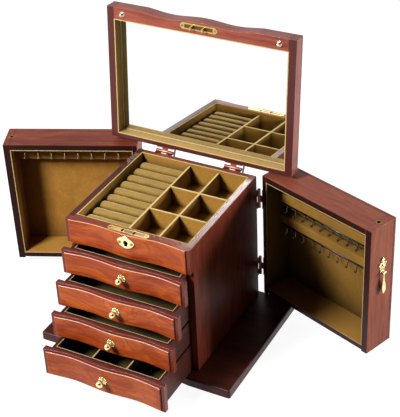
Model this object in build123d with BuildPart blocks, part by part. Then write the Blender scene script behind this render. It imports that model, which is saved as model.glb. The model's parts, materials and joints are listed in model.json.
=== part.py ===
from build123d import *
import os
from math import cos, pi, radians, sin

os.makedirs("parts", exist_ok=True)

# Case and base, in millimetres
carcass_width = 209.0
carcass_depth = 222.0
carcass_height = 227.5
side_thickness = 10.0
back_thickness = 7.5
front_side_inset = 6.0
side_setback = 11.0
shelf_thickness = 3.0
base_thickness = 14.5
base_side_overhang = 7.5
base_front_overhang = 12.0
base_back_overhang = 8.0
base_round = 3.0
edge_round = 0.7
front_round = 1.4
front_lip = 5.5
front_step = 2.4
front_lip_top = 3.6
front_lip_foot = 2.0
glue_gap = 0.05
cut_overrun = 1.0

# Serpentine front: forward at the centre and the ends, back between them
wave_depth = 4.2
wave_hollow = 1.4
wave_pitch_share = 0.575
wave_steps = 16

# Lock rail and tray
rail_height = 42.0
rail_thickness = 18.0
deck_thickness = 4.0
tray_lining_thickness = 1.5
tray_lining_drop = 0.5
ring_bay_width = 84.0
divider_thickness = 3.0
divider_drop = 5.0
tray_columns = 2
tray_rows = 3
roll_pitch = 20.3
roll_width = 19.4
roll_foot_width = 17.6
roll_height = 26.5
roll_crown = 8.0
roll_end_gap = 0.5
roll_left_gap = 6.0

# Drawers, counted from the top
drawer_front_gap = 1.6
bottom_front_extra = 6.1
drawer_front_thickness = 10.6
first_drawer_out = 19.5
second_drawer_out = 43.5
third_drawer_out = 64.0
fourth_drawer_out = 95.0
drawer_board = 5.0
drawer_floor = 3.0
drawer_lining = 1.2
drawer_top_drop = 2.0
drawer_run_gap = 0.3
drawer_side_gap = 0.4
drawer_back_gap = 3.0
drawer_shelf_lap = 0.9
bottom_front_gap = 1.0
bottom_drawer_bays = 3
drawer_divider = 2.4
drawer_divider_drop = 6.0

# Drawer knobs
knob_ball_radius = 5.7
knob_ball_reach = 9.2
knob_stem_radius = 1.9
knob_peg_radius = 1.5
knob_peg_length = 3.0
knob_peg_clearance = 0.03
rosette_radius = 5.2
rosette_thickness = 1.4
rosette_petals = 8
petal_radius = 2.3
rosette_seat = 0.5
rosette_seat_clearance = 0.2

# Lid
lid_thickness = 25.0
lid_top_thickness = 6.0
lid_gap = 0.4
lid_front_setback = 0.5
lid_side_rail = 12.0
lid_front_rail_width = 19.5
lid_back_rail = 7.2
lid_round = 3.0
lid_open_angle = 95.0
mirror_thickness = 2.0
mirror_side_gap = 0.2
lid_lining_thickness = 1.5
lid_lining_drop = 0.3

# Side doors
door_gap = 1.0
door_thickness = 54.5
door_front_setback = 0.5
door_floor_gap = 1.2
door_panel_thickness = 5.0
door_front_board = 11.0
door_back_board = 8.0
door_top_board = 10.0
door_bottom_board = 8.5
door_foot = 2.5
door_lining = 1.2
door_lining_drop = 0.3
left_door_angle = 67.0
right_door_angle = 70.0

# Hook rails inside the doors: drop of the highest rail's underside below the rim
left_rail_drop = 45.0
right_rail_drop = 62.0
right_rail_pitch = 40.0
hook_rail_depth = 18.0
hook_rail_height = 20.0
hook_rail_end_gap = 0.4
left_hook_count = 8
left_hook_front_margin = 16.5
left_hook_back_margin = 28.5
left_hook_rise = 15.0
right_hook_count = 10
right_hook_margin = 18.9
right_hook_rise = 3.0
hook_wire = 0.9
hook_reach = 3.4
hook_drop = 10.0
hook_toe = 4.4
hook_tip = 4.0
hook_bend = 2.0
hook_rail_round = 1.5

# Hinges
hinge_offset = 7.0
lid_hinge_spacing = 122.0
lid_hinge_length = 30.0
door_hinge_length = 34.0
door_hinge_rise = 53.5
door_hinge_drop = 45.0
leaf_thickness = 1.2
leaf_width = 15.0
leaf_part_gap = 0.6
knuckle_radius = 2.6
knuckle_share = 1 / 3
knuckle_gap = 0.2
pin_radius = 1.2
pin_clearance = 0.05
pin_overhang = 0.5
stop_arm_thickness = 1.8
stop_arm_gap = 1.2
stop_arm_width = 3.0
stop_arm_length = 10.0
stop_arm_clearance = 0.3

# Lock
lock_centre_setback = 10.0
lock_case_width = 38.0
lock_case_depth = 8.0
lock_case_height = 26.0
lock_case_wall = 1.0
lock_case_clearance = 0.1
lock_plate_length = 69.0
lock_plate_width = 10.0
strike_plate_length = 63.0
strike_plate_width = 10.0
plate_thickness = 1.2
plate_clearance = 0.1
lug_spacing = 20.0
lug_thickness = 2.0
lug_width = 5.0
lug_depth = 9.0
lug_window = 3.0
lug_window_foot = 1.0
lug_slot_clearance = 0.8
bolt_thickness = 2.4
bolt_nose_length = 3.6
bolt_nose_height = 2.2
bolt_nose_gap = 0.6
bolt_post_width = 2.0
bolt_top_gap = 1.2
bolt_floor_gap = 0.1
bolt_talon_radius = 3.2
keyhole_drop = 14.0
keyhole_radius = 2.8
keyhole_slot_width = 3.2
keyhole_slot_drop = 7.6
escutcheon_width = 30.0
escutcheon_height = 20.0
escutcheon_thickness = 1.2
escutcheon_crest_width = 8.0
escutcheon_crest_rise = 2.4
escutcheon_tip_share = 0.12
escutcheon_shoulder_share = 0.41
escutcheon_screw_share = 0.33

# Locating pins of the lid and the sleeves in the doors that take them
lid_pin_setback = 10.0
lid_pin_radius = 2.5
lid_pin_length = 6.0
lid_pin_flange_radius = 4.2
lid_pin_flange = 0.8
lid_pin_clearance = 0.05
lid_pin_round = 1.0
grommet_bore_radius = 3.2
grommet_radius = 4.4
grommet_depth = 8.0
grommet_clearance = 0.05

# Drop pulls on the ends of the doors
pull_top_drop = 58.0
pull_plate_width = 11.0
pull_plate_height = 29.0
pull_plate_thickness = 1.6
pull_boss_radius = 4.0
pull_bud_radius = 3.4
pull_leaf_length = 9.0
pull_leaf_width = 5.0
pull_leaf_angle = 35.0
pull_pivot_rise = 3.5
pull_pivot_reach = 4.4
pull_pin_radius = 1.0
pull_pin_clearance = 0.06
pull_eye_radius = 2.2
pull_eye_width = 2.8
pull_ear_gap = 0.3
pull_ear_width = 1.4
pull_drop_length = 38.0
pull_drop_radius = 3.5
pull_neck_radius = 1.3
pull_tip_radius = 1.5
drop_waist_share = 0.3
drop_belly_share = 0.72

# Screws
screw_radius = 1.0
screw_length = 6.0
screw_head_radius = 2.1
screw_head_height = 0.7
screw_clearance = 0.04
screw_slot_width = 0.5
screw_slot_depth = 0.3
hinge_screw_share = 0.3
plate_screw_share = 0.44

# Places worked out from the sizes above: the origin is the middle of the base's underside
lid_width = carcass_width + 2 * (door_gap + door_thickness)
base_width = lid_width + 2 * base_side_overhang
base_depth = carcass_depth + base_front_overhang + base_back_overhang
front_y = -base_depth / 2 + base_front_overhang
back_y = front_y + carcass_depth
inner_width = carcass_width - 2 * side_thickness
front_width = carcass_width - 2 * front_side_inset
lip_width = front_width + 2 * front_lip
rim_z = base_thickness + carcass_height
rail_z = rim_z - rail_height
deck_top = rail_z + deck_thickness
hinge_y = back_y + hinge_offset
hinge_x = (carcass_width + door_gap) / 2
lid_axis_z = rim_z + lid_gap / 2
wave_pitch = wave_pitch_share * front_width
door_hinge_heights = [base_thickness + door_hinge_rise, rim_z - door_hinge_drop]
drawer_extensions = [first_drawer_out, second_drawer_out, third_drawer_out, fourth_drawer_out]
drawer_count = len(drawer_extensions)
front_room = carcass_height - rail_height - bottom_front_gap - drawer_count * drawer_front_gap
drawer_front_height = (front_room - bottom_front_extra) / drawer_count
ways = [-1, 1]


def save(builder, name):
    """Label a finished piece and write it."""
    builder.part.label = name
    export_step(builder.part, f"parts/{name}.step")


def slab(low, high, mode=Mode.ADD):
    """Box between two opposite corners."""
    middle = [(a + b) / 2 for a, b in zip(low, high)]
    size = [abs(b - a) for a, b in zip(low, high)]
    with Locations(tuple(middle)):
        Box(*size, mode=mode)


def open_box(low, high, wall, floor):
    """Floor and four walls of an open box, as panels that stay separate."""
    x0, y0, z0 = low
    x1, y1, z1 = high
    foot = z0 + floor + glue_gap
    inset = wall + glue_gap
    slab((x0, y0, z0), (x1, y1, z0 + floor))
    slab((x0, y0, foot), (x0 + wall, y1, z1))
    slab((x1 - wall, y0, foot), (x1, y1, z1))
    slab((x0 + inset, y0, foot), (x1 - inset, y0 + wall, z1))
    slab((x0 + inset, y1 - wall, foot), (x1 - inset, y1, z1))


def ripple(x):
    """Waves of the front without its hollow."""
    return wave_depth * (1 - cos(2 * pi * x / wave_pitch)) / 2


def wave(x):
    """How far the front lies behind its two ends."""
    hollow = wave_hollow * cos(pi * x / front_width) ** 2
    return ripple(x) - ripple(front_width / 2) + hollow


def wave_line(end_y):
    """Serpentine line of the front, from its left end to its right end."""
    spots = [front_width * (i / wave_steps - 1 / 2) for i in range(wave_steps + 1)]
    Spline([(x, end_y + wave(x)) for x in spots])


def placed(frame, plane):
    """A plane given in the axes of a frame."""
    return Plane(frame.location * plane.location)


def facing(x, y, z, way):
    """Plane whose normal points forward (-1) or back (+1) and whose height runs up."""
    return Plane(origin=(x, y, z), x_dir=(-way, 0, 0), z_dir=(0, way, 0))


def screw_holes(planes):
    """Holes for screws whose heads seat on the given planes, with room for the heads."""
    for plane in planes:
        with Locations(plane):
            Cylinder(
                screw_radius + screw_clearance,
                screw_length + screw_clearance,
                align=(Align.CENTER, Align.CENTER, Align.MAX),
                mode=Mode.SUBTRACT,
            )
            Cylinder(
                screw_head_radius + screw_clearance,
                screw_head_height + cut_overrun,
                align=(Align.CENTER, Align.CENTER, Align.MIN),
                mode=Mode.SUBTRACT,
            )


def screws(planes):
    """Slotted screws whose heads seat on the given planes."""
    top = screw_head_height
    for plane in planes:
        with Locations(plane):
            Cylinder(screw_radius, screw_length, align=(Align.CENTER, Align.CENTER, Align.MAX))
            Cylinder(screw_head_radius, top, align=(Align.CENTER, Align.CENTER, Align.MIN))
            slab(
                (-screw_head_radius, -screw_slot_width / 2, top - screw_slot_depth),
                (screw_head_radius, screw_slot_width / 2, top + cut_overrun),
                mode=Mode.SUBTRACT,
            )


# Screws of the lock and of the hinges, on the carcass and on the lid
lock_y = front_y + lock_centre_setback
keyhole_z = rim_z - keyhole_drop
escutcheon_y = front_y + wave(0) - escutcheon_thickness
lid_hinge_places = [way * lid_hinge_spacing / 2 for way in ways]
leaf_screw_row = leaf_part_gap + leaf_width / 2
lock_plate_screws = [
    Plane(origin=(way * plate_screw_share * lock_plate_length, lock_y, rim_z - screw_head_height))
    for way in ways
]
escutcheon_screws = [
    facing(way * escutcheon_screw_share * escutcheon_width, escutcheon_y, keyhole_z, -1)
    for way in ways
]
lid_leaf_screws = [
    facing(
        x + way * hinge_screw_share * lid_hinge_length,
        back_y + leaf_thickness,
        lid_axis_z - leaf_screw_row,
        1,
    )
    for x in lid_hinge_places
    for way in ways
]
door_leaf_screws = [
    facing(
        side * (hinge_x - leaf_screw_row),
        back_y + leaf_thickness,
        height + way * hinge_screw_share * door_hinge_length,
        1,
    )
    for side in ways
    for height in door_hinge_heights
    for way in ways
]

# Base board under the carcass and both doors
with BuildPart() as base_plinth:
    with BuildSketch():
        with BuildLine():
            wave_line(-base_depth / 2)
            Polyline(
                (front_width / 2, -base_depth / 2),
                (base_width / 2, -base_depth / 2),
                (base_width / 2, base_depth / 2),
                (-base_width / 2, base_depth / 2),
                (-base_width / 2, -base_depth / 2),
                (-front_width / 2, -base_depth / 2),
            )
        make_face()
    extrude(amount=base_thickness)
    fillet(base_plinth.edges().filter_by(Axis.Z).sort_by(Axis.X)[:2], base_round)
    fillet(base_plinth.edges().filter_by(Axis.Z).sort_by(Axis.X)[-2:], base_round)
    fillet(base_plinth.faces().sort_by(Axis.Z)[-1].edges(), base_round)
save(base_plinth, "base_plinth")

# Side panels and back panel of the carcass
for side, name in ((-1, "left_side_panel"), (1, "right_side_panel")):
    with BuildPart() as side_panel:
        slab(
            (side * inner_width / 2, front_y + side_setback, base_thickness),
            (side * carcass_width / 2, back_y, rim_z),
        )
        fillet(side_panel.edges(), edge_round)
        screw_holes(door_leaf_screws)
    save(side_panel, name)

with BuildPart() as back_panel:
    slab(
        (-inner_width / 2, back_y - back_thickness, base_thickness),
        (inner_width / 2, back_y, rim_z),
    )
    fillet(back_panel.edges(), edge_round)
    screw_holes(lid_leaf_screws)
save(back_panel, "back_panel")


def keyhole(y, reach):
    """Round hole with a slot below it, cut a given reach before and behind a front."""
    with Locations(facing(0, y, keyhole_z, -1)):
        Cylinder(keyhole_radius, 2 * reach, mode=Mode.SUBTRACT)
        slab(
            (-keyhole_slot_width / 2, -keyhole_slot_drop, -reach),
            (keyhole_slot_width / 2, 0, reach),
            mode=Mode.SUBTRACT,
        )


# Fixed front rail that holds the lock
case_top = rim_z - plate_thickness
case_floor = case_top - lock_case_height
with BuildPart() as lock_rail:
    with BuildSketch(Plane.XY.offset(rail_z)):
        with BuildLine():
            wave_line(front_y)
            Polyline(
                (front_width / 2, front_y),
                (front_width / 2, front_y + front_step),
                (lip_width / 2, front_y + front_step),
                (lip_width / 2, front_y + side_setback),
                (inner_width / 2, front_y + side_setback),
                (inner_width / 2, front_y + rail_thickness),
                (-inner_width / 2, front_y + rail_thickness),
                (-inner_width / 2, front_y + side_setback),
                (-lip_width / 2, front_y + side_setback),
                (-lip_width / 2, front_y + front_step),
                (-front_width / 2, front_y + front_step),
                (-front_width / 2, front_y),
            )
        make_face()
    extrude(amount=rail_height)
    fillet(lock_rail.faces().filter_by(GeomType.PLANE, reverse=True).edges(), front_round)
    slab(
        (
            -lock_case_width / 2 - lock_case_clearance,
            lock_y - lock_case_depth / 2 - lock_case_clearance,
            case_floor - lock_case_clearance,
        ),
        (
            lock_case_width / 2 + lock_case_clearance,
            lock_y + lock_case_depth / 2 + lock_case_clearance,
            rim_z + cut_overrun,
        ),
        mode=Mode.SUBTRACT,
    )
    slab(
        (
            -lock_plate_length / 2 - plate_clearance,
            lock_y - lock_plate_width / 2 - plate_clearance,
            case_top,
        ),
        (
            lock_plate_length / 2 + plate_clearance,
            lock_y + lock_plate_width / 2 + plate_clearance,
            rim_z + cut_overrun,
        ),
        mode=Mode.SUBTRACT,
    )
    keyhole(front_y, lock_centre_setback)
    screw_holes(lock_plate_screws)
    screw_holes(escutcheon_screws)
save(lock_rail, "lock_rail")

# Drawer fronts: equal heights under the rail, and a taller one that fills the rest at the bottom
drawer_fronts = []
front_top = rail_z - drawer_front_gap
for number in range(1, drawer_count + 1):
    front_bottom = front_top - drawer_front_height
    shelf_top = front_bottom + drawer_shelf_lap
    if number == drawer_count:
        front_bottom = base_thickness + bottom_front_gap
        shelf_top = base_thickness
    drawer_fronts.append((front_bottom, front_top, shelf_top))
    front_top = front_bottom - drawer_front_gap

# Tray deck and the shelves between the drawers
with BuildPart() as shelf_boards:
    slab(
        (-inner_width / 2, front_y + rail_thickness, rail_z),
        (inner_width / 2, back_y - back_thickness, deck_top),
    )
    for front_bottom, front_top, shelf_top in drawer_fronts[:-1]:
        slab(
            (-inner_width / 2, front_y + side_setback, shelf_top - shelf_thickness),
            (inner_width / 2, back_y - back_thickness, shelf_top),
        )
save(shelf_boards, "shelf_boards")

# Velvet lining of the tray
tray_low = (-inner_width / 2, front_y + rail_thickness, deck_top)
tray_high = (inner_width / 2, back_y - back_thickness, rim_z - tray_lining_drop)
with BuildPart() as tray_lining:
    open_box(tray_low, tray_high, tray_lining_thickness, tray_lining_thickness)
save(tray_lining, "tray_lining")

# Dividers of the tray
tray_left = tray_low[0] + tray_lining_thickness
tray_right = tray_high[0] - tray_lining_thickness
tray_front = tray_low[1] + tray_lining_thickness
tray_back = tray_high[1] - tray_lining_thickness
tray_floor = deck_top + tray_lining_thickness
divider_top = rim_z - divider_drop
grid_left = tray_left + ring_bay_width + divider_thickness
column_width = (tray_right - grid_left - (tray_columns - 1) * divider_thickness) / tray_columns
row_depth = (tray_back - tray_front - (tray_rows - 1) * divider_thickness) / tray_rows
with BuildPart() as tray_dividers:
    for column in range(tray_columns):
        left = grid_left + column * (column_width + divider_thickness)
        slab(
            (left - divider_thickness, tray_front, tray_floor),
            (left, tray_back, divider_top),
        )
        for row in range(1, tray_rows):
            front = tray_front + row * (row_depth + divider_thickness)
            slab(
                (left + glue_gap, front - divider_thickness, tray_floor),
                (left + column_width - glue_gap, front, divider_top),
            )
save(tray_dividers, "tray_dividers")

# Soft ring rolls: a rounded crown over sides that draw in towards the foot
roll_shoulder = roll_height - roll_crown
roll_room = tray_back - tray_front - 2 * roll_end_gap
roll_count = int((roll_room - roll_width) / roll_pitch) + 1
first_roll = (tray_front + tray_back - (roll_count - 1) * roll_pitch) / 2
with BuildPart() as ring_rolls:
    for index in range(roll_count):
        roll_end = (tray_left + roll_left_gap, first_roll + index * roll_pitch, tray_floor)
        with BuildSketch(Plane(origin=roll_end, x_dir=(0, 1, 0), z_dir=(1, 0, 0))):
            with BuildLine():
                Polyline(
                    (-roll_width / 2, roll_shoulder),
                    (-roll_foot_width / 2, 0),
                    (roll_foot_width / 2, 0),
                    (roll_width / 2, roll_shoulder),
                )
                ThreePointArc(
                    (roll_width / 2, roll_shoulder),
                    (0, roll_height),
                    (-roll_width / 2, roll_shoulder),
                )
            make_face()
        extrude(amount=ring_bay_width - roll_left_gap - roll_end_gap)
save(ring_rolls, "ring_rolls")

# Lock case, open at the top under its plate
with BuildPart() as lock_case:
    slab(
        (-lock_case_width / 2, lock_y - lock_case_depth / 2, case_floor),
        (lock_case_width / 2, lock_y + lock_case_depth / 2, case_top),
    )
    slab(
        (
            -lock_case_width / 2 + lock_case_wall,
            lock_y - lock_case_depth / 2 + lock_case_wall,
            case_floor + lock_case_wall,
        ),
        (
            lock_case_width / 2 - lock_case_wall,
            lock_y + lock_case_depth / 2 - lock_case_wall,
            case_top + cut_overrun,
        ),
        mode=Mode.SUBTRACT,
    )
    keyhole(lock_y - lock_case_depth / 2, lock_case_wall + cut_overrun)
save(lock_case, "lock_case")

# Top plate of the lock with a slot for each lug of the lid
lug_places = [way * lug_spacing / 2 for way in ways]
with BuildPart() as lock_top_plate:
    with BuildSketch(Plane.XY.offset(case_top)):
        with Locations((0, lock_y)):
            SlotOverall(lock_plate_length, lock_plate_width)
        with Locations(*[(x, lock_y) for x in lug_places]):
            Rectangle(
                lug_thickness + 2 * lug_slot_clearance,
                lug_width + 2 * lug_slot_clearance,
                mode=Mode.SUBTRACT,
            )
    extrude(amount=plate_thickness)
    screw_holes(lock_plate_screws)
save(lock_top_plate, "lock_top_plate")

# Bolt that slides sideways until its noses pass through the lugs
lug_foot = rim_z + lid_gap - lug_depth
nose_low = lug_foot + lug_window_foot + (lug_window - bolt_nose_height) / 2
nose_root = lug_thickness / 2 + bolt_nose_gap + bolt_nose_length
bolt_top = lug_foot - bolt_top_gap
with BuildPart() as lock_bolt:
    slab(
        (
            lug_places[0] - nose_root - bolt_post_width,
            lock_y - bolt_thickness / 2,
            case_floor + lock_case_wall + bolt_floor_gap,
        ),
        (lug_places[1] - nose_root, lock_y + bolt_thickness / 2, bolt_top),
    )
    for x in lug_places:
        slab(
            (x - nose_root - bolt_post_width, lock_y - bolt_thickness / 2, bolt_top),
            (x - nose_root, lock_y + bolt_thickness / 2, nose_low + bolt_nose_height),
        )
        slab(
            (x - nose_root, lock_y - bolt_thickness / 2, nose_low),
            (x - nose_root + bolt_nose_length, lock_y + bolt_thickness / 2, nose_low + bolt_nose_height),
        )
    with Locations(facing(0, lock_y, keyhole_z, -1)):
        Cylinder(bolt_talon_radius, bolt_thickness + cut_overrun, mode=Mode.SUBTRACT)
save(lock_bolt, "lock_bolt")

# Brass shield over the keyhole: flat in front, fitted to the curve of the rail behind
shield_tip = escutcheon_tip_share * escutcheon_height
shield_crest = escutcheon_crest_width / 2
with BuildPart() as escutcheon:
    with BuildSketch(Plane.XY.offset(rail_z)):
        with BuildLine():
            wave_line(front_y)
            Polyline(
                (front_width / 2, front_y),
                (front_width / 2, escutcheon_y),
                (-front_width / 2, escutcheon_y),
                (-front_width / 2, front_y),
            )
        make_face()
    extrude(amount=rail_height)
    with BuildSketch(facing(0, escutcheon_y, keyhole_z, -1)):
        with BuildLine():
            ThreePointArc(
                (-escutcheon_width / 2, shield_tip),
                (-escutcheon_width / 4, escutcheon_height * escutcheon_shoulder_share),
                (-shield_crest, escutcheon_height / 2),
            )
            ThreePointArc(
                (-shield_crest, escutcheon_height / 2),
                (0, escutcheon_height / 2 + escutcheon_crest_rise),
                (shield_crest, escutcheon_height / 2),
            )
            ThreePointArc(
                (shield_crest, escutcheon_height / 2),
                (escutcheon_width / 4, escutcheon_height * escutcheon_shoulder_share),
                (escutcheon_width / 2, shield_tip),
            )
            ThreePointArc(
                (escutcheon_width / 2, shield_tip),
                (0, -escutcheon_height / 2),
                (-escutcheon_width / 2, shield_tip),
            )
        make_face()
    extrude(amount=-rail_thickness, mode=Mode.INTERSECT)
    keyhole(escutcheon_y, rail_thickness)
    screw_holes(escutcheon_screws)
save(escutcheon, "escutcheon")

with BuildPart() as carcass_screws:
    screws(lock_plate_screws + escutcheon_screws + lid_leaf_screws + door_leaf_screws)
save(carcass_screws, "carcass_screws")


def hinge_leaf(plane, length, way, middle):
    """Leaf with a plate on the wood and arms out to the middle knuckle or the outer ones."""
    knuckle = knuckle_share * length / 2
    spans = [(-knuckle, knuckle)]
    if not middle:
        spans = [(-length / 2, -knuckle - knuckle_gap), (knuckle + knuckle_gap, length / 2)]
    near = way * leaf_part_gap
    with Locations(plane):
        slab(
            (-hinge_offset, near, -length / 2),
            (-hinge_offset + leaf_thickness, near + way * leaf_width, length / 2),
        )
        for low, high in spans:
            slab((-hinge_offset, near, low), (0, near + way * leaf_thickness, high))
            with Locations((0, 0, (low + high) / 2)):
                Cylinder(knuckle_radius, high - low)
        Cylinder(pin_radius + pin_clearance, length + cut_overrun, mode=Mode.SUBTRACT)


def lid_hinge_plane(x, y, z):
    """Plane of a lid hinge: its normal runs along the pin, its first axis points back."""
    return Plane(origin=(x, y, z), x_dir=(0, 1, 0), z_dir=(1, 0, 0))


def door_hinge_plane(x, y, z):
    """Plane of a door hinge: its normal runs up the pin, its first axis points back."""
    return Plane(origin=(x, y, z), x_dir=(0, 1, 0), z_dir=(0, 0, 1))


# Fixed leaves of the two lid hinges and the four door hinges, and their pins
lid_hinges = [lid_hinge_plane(x, hinge_y, lid_axis_z) for x in lid_hinge_places]
with BuildPart() as carcass_hinge_leaves:
    for plane in lid_hinges:
        hinge_leaf(plane, lid_hinge_length, -1, False)
    for side in ways:
        for height in door_hinge_heights:
            hinge_leaf(door_hinge_plane(side * hinge_x, hinge_y, height), door_hinge_length, side, False)
    screw_holes(lid_leaf_screws + door_leaf_screws)
save(carcass_hinge_leaves, "carcass_hinge_leaves")

with BuildPart() as hinge_pins:
    for plane in lid_hinges:
        with Locations(plane):
            Cylinder(pin_radius, lid_hinge_length + 2 * pin_overhang)
    for side in ways:
        for height in door_hinge_heights:
            with Locations(door_hinge_plane(side * hinge_x, hinge_y, height)):
                Cylinder(pin_radius, door_hinge_length + 2 * pin_overhang)
save(hinge_pins, "hinge_pins")

# The lid, drawn closed in a frame on its hinge axis that stands open by the lid's angle
lid_turn = radians(lid_open_angle)
lid_frame = Plane(
    origin=(0, hinge_y, lid_axis_z),
    x_dir=(1, 0, 0),
    z_dir=(0, sin(lid_turn), cos(lid_turn)),
)
lid_back = -hinge_offset
lid_front = lid_back - carcass_depth + lid_front_setback
lid_under = lid_gap / 2
lid_rail_top = lid_under + lid_thickness - lid_top_thickness
lid_inner = lid_width / 2 - lid_side_rail
opening_front = lid_front + lid_front_rail_width
opening_back = lid_back - lid_back_rail
strike_y = lid_front - lid_front_setback + lock_centre_setback
pin_x = hinge_x + door_gap / 2 + door_thickness / 2
pin_y = lid_front + lid_pin_setback
strike_screws = [
    Plane(
        origin=(way * plate_screw_share * strike_plate_length, strike_y, lid_under + screw_head_height),
        x_dir=(1, 0, 0),
        z_dir=(0, 0, -1),
    )
    for way in ways
]
moving_leaf_screws = [
    facing(x + way * hinge_screw_share * lid_hinge_length, lid_back + leaf_thickness, leaf_screw_row, 1)
    for x in lid_hinge_places
    for way in ways
]

with BuildPart(lid_frame) as lid_front_rail:
    with BuildSketch(lid_frame.offset(lid_under)):
        with BuildLine():
            wave_line(lid_front)
            Polyline(
                (front_width / 2, lid_front),
                (lid_inner - glue_gap, lid_front),
                (lid_inner - glue_gap, opening_front),
                (-lid_inner + glue_gap, opening_front),
                (-lid_inner + glue_gap, lid_front),
                (-front_width / 2, lid_front),
            )
        make_face()
    extrude(amount=lid_rail_top - lid_under)
    fillet(lid_front_rail.faces().sort_by(lid_frame.location.z_axis)[0].edges(), edge_round)
    slab(
        (
            -strike_plate_length / 2 - plate_clearance,
            strike_y - strike_plate_width / 2 - plate_clearance,
            lid_under - cut_overrun,
        ),
        (
            strike_plate_length / 2 + plate_clearance,
            strike_y + strike_plate_width / 2 + plate_clearance,
            lid_under + plate_thickness,
        ),
        mode=Mode.SUBTRACT,
    )
    with Locations((-pin_x, pin_y, lid_under), (pin_x, pin_y, lid_under)):
        Cylinder(lid_pin_flange_radius + lid_pin_clearance, 2 * lid_pin_flange, mode=Mode.SUBTRACT)
    screw_holes(strike_screws)
save(lid_front_rail, "lid_front_rail")

with BuildPart(lid_frame) as lid_frame_rails:
    for side in ways:
        slab((side * lid_inner, lid_front, lid_under), (side * lid_width / 2, lid_back, lid_rail_top))
    slab(
        (-lid_inner + glue_gap, opening_back, lid_under),
        (lid_inner - glue_gap, lid_back, lid_rail_top),
    )
    fillet(lid_frame_rails.edges(), edge_round)
    screw_holes(moving_leaf_screws)
save(lid_frame_rails, "lid_frame_rails")

with BuildPart(lid_frame) as lid_top_panel:
    with BuildSketch(lid_frame.offset(lid_rail_top)):
        with BuildLine():
            wave_line(lid_front)
            Polyline(
                (front_width / 2, lid_front),
                (lid_width / 2, lid_front),
                (lid_width / 2, lid_back),
                (-lid_width / 2, lid_back),
                (-lid_width / 2, lid_front),
                (-front_width / 2, lid_front),
            )
        make_face()
    extrude(amount=lid_top_thickness)
    fillet(lid_top_panel.faces().sort_by(lid_frame.location.z_axis)[-1].edges(), lid_round)
save(lid_top_panel, "lid_top_panel")

with BuildPart(lid_frame) as mirror:
    slab(
        (-lid_inner + mirror_side_gap, opening_front + mirror_side_gap, lid_rail_top - mirror_thickness),
        (lid_inner - mirror_side_gap, opening_back - mirror_side_gap, lid_rail_top),
    )
save(mirror, "mirror")

with BuildPart(lid_frame) as lid_lining:
    lining_foot = lid_under + lid_lining_drop
    lining_top = lid_rail_top - mirror_thickness
    for side in ways:
        slab(
            (side * (lid_inner - lid_lining_thickness), opening_front, lining_foot),
            (side * lid_inner, opening_back, lining_top),
        )
    inset = lid_inner - lid_lining_thickness - glue_gap
    slab((-inset, opening_front, lining_foot), (inset, opening_front + lid_lining_thickness, lining_top))
    slab((-inset, opening_back - lid_lining_thickness, lining_foot), (inset, opening_back, lining_top))
save(lid_lining, "lid_lining")

# Strike plate with two lugs that drop into the lock
with BuildPart(lid_frame) as lid_strike_plate:
    with BuildSketch(lid_frame.offset(lid_under)):
        with Locations((0, strike_y)):
            SlotOverall(strike_plate_length, strike_plate_width)
    extrude(amount=plate_thickness)
    lug_low = lid_under - lug_depth
    window_low = lug_low + lug_window_foot
    for x in lug_places:
        slab(
            (x - lug_thickness / 2, strike_y - lug_width / 2, lug_low),
            (x + lug_thickness / 2, strike_y + lug_width / 2, lid_under),
        )
        slab(
            (x - lug_thickness, strike_y - lug_window / 2, window_low),
            (x + lug_thickness, strike_y + lug_window / 2, window_low + lug_window),
            mode=Mode.SUBTRACT,
        )
    screw_holes(strike_screws)
save(lid_strike_plate, "lid_strike_plate")

with BuildPart(lid_frame) as lid_pins:
    with Locations((-pin_x, pin_y, lid_under), (pin_x, pin_y, lid_under)):
        Cylinder(lid_pin_flange_radius, lid_pin_flange, align=(Align.CENTER, Align.CENTER, Align.MIN))
        Cylinder(lid_pin_radius, lid_pin_length, align=(Align.CENTER, Align.CENTER, Align.MAX))
    pin_edges = lid_pins.edges().filter_by(GeomType.CIRCLE).sort_by(lid_frame.location.z_axis)
    fillet(pin_edges[:2], lid_pin_round)
save(lid_pins, "lid_pins")

with BuildPart(lid_frame) as lid_hinge_leaves:
    for x in lid_hinge_places:
        hinge_leaf(lid_hinge_plane(x, 0, 0), lid_hinge_length, 1, True)
    screw_holes(moving_leaf_screws)
save(lid_hinge_leaves, "lid_hinge_leaves")

# Stop arms that meet the carcass's back when the lid stands open
tip_back = -hinge_offset + stop_arm_clearance
stop_tip_y = tip_back * cos(lid_turn) + stop_arm_length * sin(lid_turn)
stop_tip_z = tip_back * sin(lid_turn) - stop_arm_length * cos(lid_turn)
stop_root = lid_under + stop_arm_gap
with BuildPart(lid_frame) as lid_stop_arms:
    for x in lid_hinge_places:
        edge = x + lid_hinge_length / 2 + pin_overhang + stop_arm_gap
        with BuildSketch(placed(lid_frame, lid_hinge_plane(edge, 0, 0))):
            with BuildLine():
                Polyline(
                    (lid_back, stop_root),
                    (stop_tip_y, stop_tip_z),
                    (stop_tip_y, stop_tip_z + stop_arm_width),
                    (lid_back, stop_root + stop_arm_width),
                    close=True,
                )
            make_face()
        extrude(amount=stop_arm_thickness)
save(lid_stop_arms, "lid_stop_arms")

with BuildPart(lid_frame) as lid_screws:
    screws(strike_screws + moving_leaf_screws)
save(lid_screws, "lid_screws")

# One wire hook, drawn from its seat outward, down and up again
with BuildPart() as hook:
    with BuildLine(Plane.XZ) as hook_path:
        FilletPolyline(
            (0, 0),
            (hook_reach, 0),
            (hook_reach, -hook_drop),
            (hook_reach + hook_toe, -hook_drop),
            (hook_reach + hook_toe, hook_tip - hook_drop),
            radius=hook_bend,
        )
    with BuildSketch(Plane.YZ):
        Circle(hook_wire)
    sweep(path=hook_path.line)

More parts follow.
